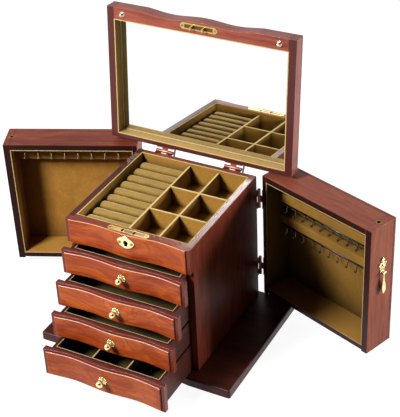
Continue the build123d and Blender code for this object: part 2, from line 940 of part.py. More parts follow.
# Side doors: shallow lined cases, drawn closed in frames on their hinge axes that stand open
door_back = -hinge_offset
door_front = door_back - carcass_depth + door_front_setback
door_low = base_thickness + door_floor_gap
door_high = rim_z
door_inner_front = door_front + door_front_board
door_inner_back = door_back - door_back_board
door_inner_low = door_low + door_foot + door_bottom_board
door_inner_high = door_high - door_top_board
door_middle = door_gap / 2 + door_thickness / 2
case_back = door_gap / 2 + door_thickness - door_panel_thickness
rail_face = case_back - door_lining - hook_rail_depth
rail_front = door_inner_front + door_lining + hook_rail_end_gap
rail_back = door_inner_back - door_lining - hook_rail_end_gap
left_rails = [rim_z - left_rail_drop]
right_rails = [rim_z - right_rail_drop, rim_z - right_rail_drop - right_rail_pitch]
left_row = (left_hook_count, left_hook_front_margin, left_hook_back_margin, left_hook_rise)
right_row = (right_hook_count, right_hook_margin, right_hook_margin, right_hook_rise)
pull_pivot_z = rim_z - pull_top_drop - pull_plate_height + pull_pivot_rise
plate_middle = pull_plate_height / 2 - pull_pivot_rise
doors = (
    (-1, "left", left_door_angle, left_rails, left_row),
    (1, "right", right_door_angle, right_rails, right_row),
)
for side, name, angle, rail_heights, hook_row in doors:
    turn = radians(angle)
    door_frame = Plane(
        origin=(side * hinge_x, hinge_y, 0),
        x_dir=(cos(turn), side * sin(turn), 0),
        z_dir=(0, 0, 1),
    )
    mouth = side * door_gap / 2
    frame_back = side * case_back
    lining_back = side * (case_back - door_lining)

    with BuildPart(door_frame) as door_boards:
        slab((mouth, door_front, door_low), (frame_back, door_inner_front, door_high))
        slab((mouth, door_inner_back, door_low), (frame_back, door_back, door_high))
        for low, high in ((door_low + door_foot, door_inner_low), (door_inner_high, door_high)):
            slab(
                (mouth, door_inner_front + glue_gap, low),
                (frame_back, door_inner_back - glue_gap, high),
            )
        fillet(door_boards.edges(), edge_round)
        with Locations((side * door_middle, door_front + lid_pin_setback, door_high)):
            Cylinder(grommet_radius + grommet_clearance, 2 * grommet_depth, mode=Mode.SUBTRACT)
    save(door_boards, f"{name}_door_frame")

    with BuildPart(door_frame) as door_panel:
        slab(
            (frame_back, door_front, door_low),
            (side * (door_gap / 2 + door_thickness), door_back, door_high),
        )
        fillet(door_panel.edges(), edge_round)
    save(door_panel, f"{name}_door_panel")

    with BuildPart(door_frame) as lining:
        slab(
            (lining_back, door_inner_front, door_inner_low),
            (frame_back, door_inner_back, door_inner_high),
        )
        lip = mouth + side * door_lining_drop
        deep = lining_back - side * glue_gap
        for low, high in (
            (door_inner_front, door_inner_front + door_lining),
            (door_inner_back - door_lining, door_inner_back),
        ):
            slab((lip, low, door_inner_low), (deep, high, door_inner_high))
        for low, high in (
            (door_inner_low, door_inner_low + door_lining),
            (door_inner_high - door_lining, door_inner_high),
        ):
            slab(
                (lip, door_inner_front + door_lining + glue_gap, low),
                (deep, door_inner_back - door_lining - glue_gap, high),
            )
    save(lining, f"{name}_door_lining")

    with BuildPart(door_frame) as hook_rails:
        for height in rail_heights:
            slab(
                (side * rail_face, rail_front, height),
                (lining_back, rail_back, height + hook_rail_height),
            )
        fillet(hook_rails.edges().filter_by(door_frame.location.y_axis), hook_rail_round)
    save(hook_rails, f"{name}_hook_rails")

    with BuildPart(door_frame) as hooks:
        hook_count, front_margin, back_margin, hook_rise = hook_row
        row_start = door_inner_front + front_margin
        hook_pitch = (door_inner_back - back_margin - row_start) / (hook_count - 1)
        for height in rail_heights:
            for index in range(hook_count):
                seat = (side * rail_face, row_start + index * hook_pitch, height + hook_rise)
                with Locations(Plane(origin=seat, x_dir=(-side, 0, 0), z_dir=(0, 0, 1))):
                    add(hook.part)
    save(hooks, f"{name}_hooks")

    with BuildPart(door_frame) as grommet:
        with Locations((side * door_middle, door_front + lid_pin_setback, door_high - grommet_depth)):
            Cylinder(grommet_radius, grommet_depth, align=(Align.CENTER, Align.CENTER, Align.MIN))
            Cylinder(
                grommet_bore_radius,
                grommet_depth + cut_overrun,
                align=(Align.CENTER, Align.CENTER, Align.MIN),
                mode=Mode.SUBTRACT,
            )
    save(grommet, f"{name}_door_grommet")

    with BuildPart(door_frame) as door_leaves:
        for height in door_hinge_heights:
            hinge_leaf(door_hinge_plane(0, 0, height), door_hinge_length, -side, True)
    save(door_leaves, f"{name}_door_hinge_leaves")

    pull_plane = placed(door_frame, facing(side * door_middle, door_front, pull_pivot_z, -1))
    ear_in = pull_eye_width / 2 + pull_ear_gap
    with BuildPart(pull_plane) as pull_plate:
        with BuildSketch(pull_plane):
            with Locations((0, plate_middle)):
                Ellipse(pull_plate_width / 2, pull_plate_height / 2 - pull_bud_radius)
            with Locations((0, plate_middle + pull_plate_height / 2 - pull_bud_radius)):
                Circle(pull_bud_radius)
            for way in ways:
                with Locations((way * pull_plate_width / 2, plate_middle)):
                    Ellipse(pull_leaf_width / 2, pull_leaf_length / 2, rotation=way * pull_leaf_angle)
            with Locations((0, 0)):
                Circle(pull_bud_radius)
        extrude(amount=pull_plate_thickness)
        with Locations((0, plate_middle, pull_plate_thickness)):
            Cone(
                pull_boss_radius,
                pull_bud_radius / 2,
                pull_pivot_reach - pull_plate_thickness,
                align=(Align.CENTER, Align.CENTER, Align.MIN),
            )
        for way in ways:
            slab(
                (way * ear_in, -pull_eye_radius, 0),
                (way * (ear_in + pull_ear_width), pull_eye_radius, pull_pivot_reach + pull_eye_radius),
            )
        with Locations(Plane(origin=(0, 0, pull_pivot_reach), x_dir=(0, 1, 0), z_dir=(1, 0, 0))):
            Cylinder(pull_pin_radius, 2 * ear_in)
    save(pull_plate, f"{name}_pull_plate")

    drop_plane = pull_plane.offset(pull_pivot_reach)
    drop_foot = -pull_drop_length + pull_tip_radius
    drop_root = -(pull_pin_radius + pull_eye_radius) / 2
    with BuildPart(pull_plane) as pull_drop:
        with BuildSketch(drop_plane):
            with BuildLine():
                Spline(
                    (pull_neck_radius, drop_root),
                    (pull_neck_radius, -pull_drop_length * drop_waist_share),
                    (pull_drop_radius, -pull_drop_length * drop_belly_share),
                    (pull_neck_radius, drop_foot),
                )
                Polyline(
                    (pull_neck_radius, drop_foot),
                    (0, drop_foot),
                    (0, drop_root),
                    (pull_neck_radius, drop_root),
                )
            make_face()
        revolve(axis=Axis(drop_plane.origin, drop_plane.y_dir))
        with Locations((0, drop_foot, pull_pivot_reach)):
            Sphere(pull_tip_radius)
        with Locations(Plane(origin=(0, 0, pull_pivot_reach), x_dir=(0, 1, 0), z_dir=(1, 0, 0))):
            Cylinder(pull_eye_radius, pull_eye_width)
            Cylinder(pull_pin_radius + pull_pin_clearance, pull_eye_width + cut_overrun, mode=Mode.SUBTRACT)
    save(pull_drop, f"{name}_pull_drop")

# Drawers, each drawn in a frame at the foot of its front and pulled out by its own extension
box_width = inner_width - 2 * drawer_side_gap
box_back = carcass_depth - back_thickness - drawer_back_gap
lining_width = box_width - 2 * drawer_board
lining_front = drawer_front_thickness + drawer_board
lining_back = box_back - drawer_board
seat_radius = rosette_radius + petal_radius + rosette_seat_clearance
for number, (front_bottom, front_top, shelf_top) in enumerate(drawer_fronts, start=1):
    extension = drawer_extensions[number - 1]
    drawer_frame = Plane(origin=(0, front_y - extension, front_bottom))
    front_height = front_top - front_bottom
    box_low = shelf_top + drawer_run_gap - front_bottom
    box_high = front_height - drawer_top_drop
    knob_plane = facing(0, wave(0) + rosette_seat, front_height / 2, -1)

    with BuildPart(drawer_frame) as drawer_front:
        with BuildSketch(drawer_frame):
            with BuildLine():
                wave_line(front_step)
                Polyline(
                    (front_width / 2, front_step),
                    (lip_width / 2, front_step),
                    (lip_width / 2, drawer_front_thickness),
                    (-lip_width / 2, drawer_front_thickness),
                    (-lip_width / 2, front_step),
                    (-front_width / 2, front_step),
                )
            make_face()
        extrude(amount=front_height)
        fillet(drawer_front.faces().sort_by(Axis.Z)[-1].edges(), edge_round)
        with BuildSketch(drawer_frame.offset(front_lip_foot)):
            with BuildLine():
                wave_line(0)
                Polyline(
                    (front_width / 2, 0),
                    (front_width / 2, drawer_front_thickness),
                    (-front_width / 2, drawer_front_thickness),
                    (-front_width / 2, 0),
                )
            make_face()
        extrude(amount=front_height - front_lip_top - front_lip_foot)
        curved = drawer_front.faces().filter_by(GeomType.PLANE, reverse=True)
        fillet(curved.sort_by(Axis.Y)[0].edges(), front_round)
        with Locations(knob_plane):
            Cylinder(
                seat_radius,
                rosette_seat + cut_overrun,
                align=(Align.CENTER, Align.CENTER, Align.MIN),
                mode=Mode.SUBTRACT,
            )
            Cylinder(
                knob_peg_radius + knob_peg_clearance,
                knob_peg_length + knob_peg_clearance,
                align=(Align.CENTER, Align.CENTER, Align.MAX),
                mode=Mode.SUBTRACT,
            )
    save(drawer_front, f"drawer_{number}_front")

    with BuildPart(drawer_frame) as drawer_box:
        open_box(
            (-box_width / 2, drawer_front_thickness, box_low),
            (box_width / 2, box_back, box_high),
            drawer_board,
            drawer_floor,
        )
    save(drawer_box, f"drawer_{number}_box")

    with BuildPart(drawer_frame) as drawer_velvet:
        velvet_low = box_low + drawer_floor
        open_box(
            (-lining_width / 2, lining_front, velvet_low),
            (lining_width / 2, lining_back, box_high),
            drawer_lining,
            drawer_lining,
        )
        if number == drawer_count:
            bay = lining_width / bottom_drawer_bays
            for index in range(1, bottom_drawer_bays):
                middle = -lining_width / 2 + index * bay
                slab(
                    (
                        middle - drawer_divider / 2,
                        lining_front + drawer_lining + glue_gap,
                        velvet_low + drawer_lining + glue_gap,
                    ),
                    (
                        middle + drawer_divider / 2,
                        lining_back - drawer_lining - glue_gap,
                        box_high - drawer_divider_drop,
                    ),
                )
    save(drawer_velvet, f"drawer_{number}_lining")

    with BuildPart(drawer_frame) as drawer_knob:
        with Locations(knob_plane):
            Cylinder(rosette_radius, rosette_thickness, align=(Align.CENTER, Align.CENTER, Align.MIN))
            with PolarLocations(rosette_radius, rosette_petals):
                Cylinder(petal_radius, rosette_thickness, align=(Align.CENTER, Align.CENTER, Align.MIN))
            Cylinder(knob_stem_radius, knob_ball_reach, align=(Align.CENTER, Align.CENTER, Align.MIN))
            Cylinder(knob_peg_radius, knob_peg_length, align=(Align.CENTER, Align.CENTER, Align.MAX))
            with Locations((0, 0, knob_ball_reach)):
                Sphere(knob_ball_radius)
    save(drawer_knob, f"drawer_{number}_knob")
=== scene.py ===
import json
from math import asin, cos, pi, radians, sin, sqrt

import bmesh
import bpy
from mathutils import Matrix, Vector

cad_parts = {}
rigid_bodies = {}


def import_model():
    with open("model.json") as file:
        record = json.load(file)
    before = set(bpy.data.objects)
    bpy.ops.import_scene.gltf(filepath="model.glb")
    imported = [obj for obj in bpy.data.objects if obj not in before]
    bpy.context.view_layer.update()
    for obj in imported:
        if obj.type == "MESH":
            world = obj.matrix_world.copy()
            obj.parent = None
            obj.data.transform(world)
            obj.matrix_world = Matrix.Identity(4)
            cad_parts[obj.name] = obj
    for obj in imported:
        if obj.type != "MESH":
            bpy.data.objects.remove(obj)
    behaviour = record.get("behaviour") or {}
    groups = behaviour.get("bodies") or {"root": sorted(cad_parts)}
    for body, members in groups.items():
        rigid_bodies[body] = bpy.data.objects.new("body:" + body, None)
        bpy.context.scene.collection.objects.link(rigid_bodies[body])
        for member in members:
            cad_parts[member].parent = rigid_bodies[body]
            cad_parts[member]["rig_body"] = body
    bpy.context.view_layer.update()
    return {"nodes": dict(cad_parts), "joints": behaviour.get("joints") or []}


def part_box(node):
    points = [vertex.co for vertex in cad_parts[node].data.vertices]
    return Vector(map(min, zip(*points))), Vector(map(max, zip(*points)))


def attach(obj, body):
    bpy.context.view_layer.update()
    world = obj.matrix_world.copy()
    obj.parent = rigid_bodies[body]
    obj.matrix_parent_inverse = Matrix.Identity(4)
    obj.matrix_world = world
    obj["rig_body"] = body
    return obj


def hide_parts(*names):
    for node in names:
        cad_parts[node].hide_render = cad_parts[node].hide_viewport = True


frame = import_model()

nodes = frame["nodes"]
joints = {joint["child"]: joint for joint in frame["joints"]}
scene = bpy.context.scene
mm = 0.001
RIGHT, BACK, UP = Vector((1, 0, 0)), Vector((0, 1, 0)), Vector((0, 0, 1))
sides = ("left", "right")
drawers = [f"drawer_{number}" for number in range(1, 5)]


# Places in the shut box

def shutting(body):
    """Matrix that takes a body from its place at rest to the shut box."""
    joint = joints.get(body)
    if joint is None:
        return Matrix.Identity(4)
    if joint["type"] == "slide":
        own = Matrix.Translation(Vector(joint["axis"]) * joint["range_m"][0])
    else:
        pivot = Matrix.Translation(Vector(joint["pos_m"]))
        turn = Matrix.Rotation(radians(joint["range_deg"][0]), 4, Vector(joint["axis"]))
        own = pivot @ turn @ pivot.inverted()
    return shutting(joint["parent"]) @ own


def body_of(node):
    """Body that carries a node."""
    return nodes[node]["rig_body"]


def shut_box(node):
    """Lowest and highest corner of a node in the shut box."""
    matrix = shutting(body_of(node))
    spots = [matrix @ vertex.co for vertex in nodes[node].data.vertices]
    return Vector(tuple(map(min, zip(*spots)))), Vector(tuple(map(max, zip(*spots))))


# Colours and node trees

def tone(red, green, blue):
    """Linear colour from screen values between 0 and 255."""
    parts = [value / 255 for value in (red, green, blue)]
    return [p / 12.92 if p < 0.04045 else ((p + 0.055) / 1.055) ** 2.4 for p in parts] + [1.0]


def faded(colour, share):
    """Colour brought down to a share of its brightness."""
    return [value * share for value in colour[:3]] + [1.0]


class Tree:
    """Node tree with short calls for the nodes that it uses."""

    def __init__(self, tree):
        self.tree = tree

    def put(self, socket, value):
        """Link a socket to another one, or set it to a constant."""
        if isinstance(value, bpy.types.NodeSocket):
            self.tree.links.new(value, socket)
        else:
            socket.default_value = value

    def add(self, kind, values=None, **settings):
        """New node with its settings and inputs."""
        node = self.tree.nodes.new("ShaderNode" + kind)
        for key, value in settings.items():
            setattr(node, key, value)
        for key, value in (values or {}).items():
            self.put(node.inputs[key], value)
        return node

    def math(self, operation, first, second):
        """Result of a calculation with two values."""
        return self.add("Math", {0: first, 1: second}, operation=operation).outputs[0]

    def times(self, first, second):
        """Product of two values."""
        return self.math("MULTIPLY", first, second)

    def larger(self, first, second):
        """Larger one of two values."""
        return self.math("MAXIMUM", first, second)

    def within(self, value, low, high):
        """1 between two levels and 0 elsewhere."""
        return self.times(self.math("GREATER_THAN", value, low), self.math("LESS_THAN", value, high))

    def outside(self, value, low, high):
        """1 below the one level or above the other, and 0 between them."""
        return self.larger(self.math("LESS_THAN", value, low), self.math("GREATER_THAN", value, high))

    def span(self, value, low, high, start=0.0, end=1.0):
        """Value brought from one range into another, and held inside it."""
        values = {"Value": value, "From Min": low, "From Max": high, "To Min": start, "To Max": end}
        return self.add("MapRange", values).outputs[0]

    def vector(self, operation, first, second, output="Vector"):
        """Result of a calculation with two vectors."""
        return self.add("VectorMath", {0: first, 1: second}, operation=operation).outputs[output]

    def dot(self, first, second):
        """Scalar product of two vectors."""
        return self.vector("DOT_PRODUCT", first, second, "Value")

    def part(self, vector, axis):
        """One component of a vector."""
        return self.add("SeparateXYZ", {0: vector}).outputs[axis]


# Ranges in which an edge counts as rubbed and highlighted, and a hollow as shut in
wear_and_highlight_range, wear_and_highlight_samples = (0.985, 0.85), 4
hollow_range, hollow_samples = (0.9, 0.3), 6


class Surface(Tree):
    """Node tree of one material, with places and normals as in the shut box."""

    def __init__(self, name, body=None):
        self.material = bpy.data.materials.new(name)
        self.material.use_nodes = True
        super().__init__(self.material.node_tree)
        self.shader = self.tree.nodes["Principled BSDF"]
        coords = self.add("TexCoord")
        shut = shutting(body)
        turn = shut.to_euler()
        spot = {"Vector": coords.outputs["Object"], "Location": shut.translation, "Rotation": turn}
        self.place = self.add("Mapping", spot).outputs[0]
        look = {"Vector": coords.outputs["Normal"], "Rotation": turn}
        self.normal = self.add("Mapping", look, vector_type="NORMAL").outputs[0]

    def noise(self, vector, rate, detail=3.0, roughness=0.55, distortion=0.0, output="Fac"):
        """Noise with a given number of features per metre along each axis."""
        values = {
            "Vector": self.vector("MULTIPLY", vector, rate),
            "Scale": 1.0,
            "Detail": detail,
            "Roughness": roughness,
            "Distortion": distortion,
        }
        return self.add("TexNoise", values).outputs[output]

    def mix(self, share, first, second):
        """Colour between two colours."""
        return self.add("Mix", {0: share, 6: first, 7: second}, data_type="RGBA").outputs[2]

    def along(self, grain):
        """Place with its first component along the grain."""
        first = "XYZ".index(grain)
        parts = self.add("SeparateXYZ", {0: self.place})
        values = {index: parts.outputs[(first + index) % 3] for index in range(3)}
        return self.add("CombineXYZ", values).outputs[0]

    def facing(self, direction, low, high, start=0.0, end=1.0):
        """Value that goes from start to end as a face turns to a direction."""
        return self.span(self.dot(self.normal, direction), low, high, start, end)

    def edge_wear_and_highlight(self, radius):
        """Share of rubbing and painted highlight, near an edge of the mesh."""
        round_normal = self.add("Bevel", {"Radius": radius}, samples=wear_and_highlight_samples).outputs[0]
        flat_normal = self.add("NewGeometry").outputs["Normal"]
        return self.span(self.dot(round_normal, flat_normal), *wear_and_highlight_range)

    def hollow(self, distance):
        """Share by which hollows of the mesh darken: dirt on metal, painted shade on wood and velvet."""
        sky = self.add("AmbientOcclusion", {"Distance": distance}, samples=hollow_samples)
        return self.span(sky.outputs["AO"], *hollow_range)

    def bump(self, height, depth, strength):
        """Normal of a surface with a given height over it."""
        values = {"Height": height, "Distance": depth, "Strength": strength}
        return self.add("Bump", values).outputs[0]

    def finish(self, values):
        """Set or link the inputs of the shader and give the material back."""
        for key, value in values.items():
            self.put(self.shader.inputs[key], value)
        return self.material


# Wood: rates along and across the grain, depths, shares and ranges of its marks, and the black of a hole,
# which is painted shade
sway_rate, sway_reach = (5, 13, 13), (0, 0.03, 0.03)
streak_rate, cloud_rate = (10, 190, 190), (9, 26, 26)
fibre_rate, pore_rate = (50, 1500, 1500), (120, 2300, 2300)
flame_rate, lacquer_rate = 46.0, (26, 26, 26)
wood_wear_and_highlight, wood_hollow, wood_relief, wood_bump = 1.1 * mm, 4 * mm, 0.12 * mm, 0.3
fibre_share, pore_share, rim_share, lip_share, hollow_share = 0.3, 0.5, 0.92, 0.85, 0.8
fibre_height, deep_share, pale_gain, pale_lift = 0.5, 0.3, 1.5, 0.05
figure_range, fibre_range, pore_range, ring_range = (0.36, 0.66), (0.4, 0.7), (0.62, 0.74), (0.1, 1.0)
patch_range, patch_shares, smudge_range, polish_range = (0.3, 0.65), (0.25, 0.6), (0.3, 0.7), (0.8, 0.97)
smoother, rougher = 0.05, 0.1
hole_black = tone(6, 5, 5)


def wood(name, body, dark, light, grain, **options):
    """Stained and lacquered wood. The options are
    cross, (axis, low, high, grain) for boards that run another way outside a stretch,
    lips, (axis, low, high, colour) for edges past a stretch,
    rims, (direction, low, high, colour) for faces stained another colour, also used for painted highlights
    and a painted sheen, bore, (centre, radius) for painted shade, black, on the wall of a hole,
    figure, the share of broad clouds in the grain, and flame, the strength of rings in them,
    roughness, shine, coat and coat_roughness of the lacquer, and polish, its coat on top faces."""
    roughness, figure = options.get("roughness", 0.36), options.get("figure", 0.45)
    coat, shine = options.get("coat", 0.1), options.get("shine", 0.2)
    surface = Surface(name, body)
    run = surface.along(grain)
    if "cross" in options:
        axis, low, high, other = options["cross"]
        inside = surface.within(surface.part(surface.place, axis), low, high)
        values = {0: inside, 4: surface.along(other), 5: run}
        run = surface.add("Mix", values, data_type="VECTOR").outputs[1]
    sway = surface.noise(run, sway_rate, detail=2, output="Color")
    run = surface.vector("ADD", run, surface.vector("MULTIPLY", sway, sway_reach))
    streak = surface.noise(run, streak_rate, detail=5, roughness=0.62)
    cloud = surface.noise(run, cloud_rate, detail=3, distortion=1.1)
    fibre = surface.noise(run, fibre_rate, detail=2)
    pore = surface.span(surface.noise(run, pore_rate, detail=1), *pore_range)
    shade = surface.math("ADD", surface.times(streak, 1 - figure), surface.times(cloud, figure))
    colour = surface.mix(surface.span(shade, *figure_range), dark, light)
    deep = faded(dark, deep_share)
    colour = surface.mix(surface.span(fibre, *fibre_range, 0.0, fibre_share), colour, dark)
    colour = surface.mix(surface.times(pore, pore_share), colour, deep)
    if "flame" in options:
        ring = surface.math("SINE", surface.times(cloud, flame_rate), 0.0)
        colour = surface.mix(surface.span(ring, *ring_range, 0.0, options["flame"]), colour, dark)
    for direction, low, high, other_tone in options.get("rims", ()):
        colour = surface.mix(surface.facing(direction, low, high, 0.0, rim_share), colour, other_tone)
    # Pale rounded edges, in patches: partly rubbed by use, partly a painted highlight
    pale = [min(1.0, value * pale_gain + pale_lift) for value in light[:3]] + [1.0]
    patches = surface.span(cloud, *patch_range, *patch_shares)
    pale_edge = surface.times(surface.edge_wear_and_highlight(wood_wear_and_highlight), patches)
    colour = surface.mix(pale_edge, colour, pale)
    for axis, low, high, other_tone in options.get("lips", ()):
        past = surface.outside(surface.part(surface.place, axis), low, high)
        colour = surface.mix(surface.times(past, lip_share), colour, other_tone)
    # Painted shade: the wood darkens in its hollows and inner corners
    colour = surface.mix(surface.times(surface.hollow(wood_hollow), hollow_share), colour, deep)
    # Painted shade: the wall of a hole is painted black
    if "bore" in options:
        centre, radius = options["bore"]
        level = surface.vector("MULTIPLY", surface.place, (1, 0, 1))
        away = surface.vector("DISTANCE", level, (centre.x, 0, centre.z), "Value")
        colour = surface.mix(surface.math("LESS_THAN", away, radius), colour, hole_black)
    smudge = surface.noise(surface.place, lacquer_rate, detail=4, distortion=0.6)
    height = surface.math("SUBTRACT", surface.times(fibre, fibre_height), pore)
    if "polish" in options:
        coat = surface.facing(UP, *polish_range, coat, options["polish"])
    return surface.finish(
        {
            "Base Color": colour,
            "Roughness": surface.span(smudge, *smudge_range, roughness - smoother, roughness + rougher),
            "Specular IOR Level": shine,
            "Coat Weight": coat,
            "Coat Roughness": options.get("coat_roughness", 0.12),
            "Normal": surface.bump(height, wood_relief, wood_bump),
        }
    )


# Velvet: rates, shares and ranges of its marks, depths, ranges of faces that lie or look outward, and tones
nap_rate, brush_rate, pile_rate = (26, 26, 26), (320, 320, 320), (1900, 1900, 1900)
nap_share, brush_share, brush_height = 0.55, 0.45, 0.6
tuft_share, tuft_tone, shadow_tone, floor_share = 0.4, 0.55, 0.12, 0.8
shade_range, tuft_range, nap_range, nap_roughness = (0.25, 0.75), (0.4, 0.75), (0.3, 0.7), (0.82, 0.95)
velvet_hollow, velvet_relief, velvet_bump, edge_blur = 14 * mm, 0.25 * mm, 0.55, 0.2 * mm
lying_range, outward_range, edge_shares = (0.5, 0.9), (0.4, 0.9), (0.45, 0.9)
edge_gold, sheen_gold = tone(236, 206, 138), tone(255, 234, 188)


def velvet(name, body, deep, bright, **options):
    """Short pile velvet. The options are
    edge, (direction, level) for the pale turned edge past a level, partly the cloth's own pale edge and
    partly a painted highlight on faces that look outward, and edge_tone, its colour, ridge, the drop from
    that level to lower pale edges, gloom, the share by which hollows of a depth darken as painted shade, and
    shadow, their colour, floor_gloom, the share of it on faces that look up, and floor_tone, the colour of
    these, a painted light, dim, the share by which light that the pile bounces is darkened, and sheen."""
    depth, gloom = options.get("depth", velvet_hollow), options.get("gloom", 0.5)
    edge_tone = options.get("edge_tone", edge_gold)
    surface = Surface(name, body)
    nap = surface.noise(surface.place, nap_rate, detail=4, distortion=1.4)
    brush = surface.noise(surface.place, brush_rate, detail=2, distortion=0.6)
    pile = surface.noise(surface.place, pile_rate, detail=2)
    shade = surface.math("ADD", surface.times(nap, nap_share), surface.times(brush, brush_share))
    colour = surface.mix(surface.span(shade, *shade_range), deep, bright)
    # Painted light: faces that look up take the paler floor tone
    if "floor_tone" in options:
        lying = surface.facing(UP, *lying_range, 0.0, floor_share)
        colour = surface.mix(lying, colour, options["floor_tone"])
    tuft = surface.span(pile, *tuft_range, 0.0, tuft_share)
    colour = surface.mix(tuft, colour, faded(deep, tuft_tone))
    shadow = options.get("shadow", faded(deep, shadow_tone))
    # Painted shade: hollows darken towards the shadow colour
    share = surface.times(surface.hollow(depth), gloom)
    if "floor_gloom" in options:
        share = surface.times(share, surface.facing(UP, *lying_range, 1.0, options["floor_gloom"]))
    colour = surface.mix(share, colour, shadow)
    # Pale edge: partly the cloth's own edge, partly a painted highlight on faces that look outward
    if "edge" in options:
        direction, level = options["edge"]
        reach = surface.dot(surface.place, direction)
        past = surface.span(reach, level - edge_blur, level)
        outward = surface.facing(direction, *outward_range)
        share = surface.times(past, surface.span(outward, 0, 1, *edge_shares))
        colour = surface.mix(share, colour, edge_tone)
        if "ridge" in options:
            ridge = surface.math("GREATER_THAN", reach, level - options["ridge"])
            colour = surface.mix(surface.times(ridge, outward), colour, edge_tone)
    bounced = surface.add("LightPath").outputs["Is Diffuse Ray"]
    colour = surface.mix(surface.times(bounced, options.get("dim", 0.75)), colour, shadow)
    height = surface.math("ADD", pile, surface.times(brush, brush_height))
    return surface.finish(
        {
            "Base Color": colour,
            "Roughness": surface.span(nap, *nap_range, *nap_roughness),
            "Specular IOR Level": 0.15,
            "Sheen Weight": options.get("sheen", 0.35),
            "Sheen Roughness": 0.4,
            "Sheen Tint": sheen_gold,
            "Normal": surface.bump(height, velvet_relief, velvet_bump),
        }
    )


# Metal: rates, shares and ranges of its marks, and depths
tarnish_rate, mark_rate = (140, 140, 140), (2600, 500, 900)
tarnish_range, haze_range, mark_range = (0.4, 0.75), (0.35, 0.75), (0.5, 0.8)
metal_hollow, metal_relief, metal_bump = 1.6 * mm, 0.02 * mm, 0.25
tarnish_share, well_share, grime_tone, mark_haze = 0.45, 0.85, 0.25, 0.06


def metal(name, body, clean, dull, polish, haze, dirt=0.7, well=None):
    """Metal with patches of tarnish, dirt in its hollows and fine handling marks. A well, (corner, corner,
    colour), is a field of another colour."""
    surface = Surface(name, body)
    tarnish = surface.noise(surface.place, tarnish_rate, detail=4, distortion=0.8)
    mark = surface.noise(surface.place, mark_rate, detail=2)
    colour = surface.mix(surface.span(tarnish, *tarnish_range, 0.0, tarnish_share), clean, dull)
    if well:
        low, high, other_tone = well
        inside = well_share
        for axis in range(3):
            spot = surface.part(surface.place, axis)
            inside = surface.times(inside, surface.within(spot, low[axis], high[axis]))
        colour = surface.mix(inside, colour, other_tone)
    grimy = surface.times(surface.hollow(metal_hollow), dirt)
    colour = surface.mix(grimy, colour, faded(dull, grime_tone))
    cloudy = surface.span(tarnish, *haze_range, polish, haze)
    return surface.finish(
        {
            "Base Color": colour,
            "Metallic": 1.0,
            "Roughness": surface.math("ADD", cloudy, surface.span(mark, *mark_range, 0.0, mark_haze)),
            "Normal": surface.bump(mark, metal_relief, metal_bump),
        }
    )


# Looking glass: rates and ranges of its marks, width of its ground edge, relief and tones
smear_rate, dust_rate = (14, 14, 14), (900, 900, 900)
dust_range, dust_share, smear_range, smear_roughness = (0.6, 0.8), 0.1, (0.5, 0.8), (0.004, 0.03)
ground_start, ground_end, ground_roughness = 2.6 * mm, 3.0 * mm, 0.5
glass_relief, glass_bump = 0.004 * mm, 0.1
silver, dusty_silver, ground_glass = tone(222, 224, 223), tone(200, 203, 200), tone(252, 246, 228)


def looking_glass(name, node):
    """Silvered glass with a ground edge and faint smudges."""
    surface = Surface(name, body_of(node))
    low, high = shut_box(node)
    edge = 0.0
    for axis in range(2):
        spot = surface.part(surface.place, axis)
        near = surface.span(spot, low[axis] + ground_start, low[axis] + ground_end, 1.0, 0.0)
        far = surface.span(spot, high[axis] - ground_end, high[axis] - ground_start)
        edge = surface.larger(edge, surface.larger(near, far))
    smear = surface.noise(surface.place, smear_rate, detail=5, distortion=1.2)
    dust = surface.noise(surface.place, dust_rate, detail=1)
    clear = surface.mix(surface.span(dust, *dust_range, 0.0, dust_share), silver, dusty_silver)
    haze = surface.span(smear, *smear_range, *smear_roughness)
    return surface.finish(
        {
            "Base Color": surface.mix(edge, clear, ground_glass),
            "Metallic": 1.0,
            "Roughness": surface.math("ADD", haze, surface.times(edge, ground_roughness)),
            "Normal": surface.bump(smear, glass_relief, glass_bump),
        }
    )


def paint(node, material):
    """Give a node's object one material."""
    mesh = nodes[node].data
    mesh.materials.clear()
    mesh.materials.append(material)


# Finish of the wooden pieces, with the ranges of the faces that are stained another colour or carry a
# painted highlight
veneer_tones = tone(152, 52, 18), tone(232, 118, 50)
stain_tones = tone(92, 36, 24), tone(150, 70, 46)
box_tones = tone(52, 22, 17), tone(86, 38, 28)
base_tones = tone(54, 22, 16), tone(88, 38, 28)
lid_front_tones = tone(134, 58, 46), tone(186, 102, 80)
lid_rail_tones = tone(106, 48, 40), tone(160, 88, 73)
lid_top_tones = tone(104, 44, 34), tone(160, 82, 62)
left_door_tones = tone(104, 42, 30), tone(166, 84, 58)
right_door_tones = tone(126, 60, 44), tone(172, 96, 70)
door_panel_tones = tone(96, 40, 30), tone(152, 74, 54)
rail_top, rail_highlight = tone(114, 46, 26), tone(222, 150, 104)
front_top, front_highlight = tone(104, 36, 30), tone(236, 170, 144)
lip_stain, lip_top_stain = tone(104, 38, 30), tone(96, 32, 28)
lid_rim, door_rim = tone(86, 39, 35), tone(24, 12, 13)
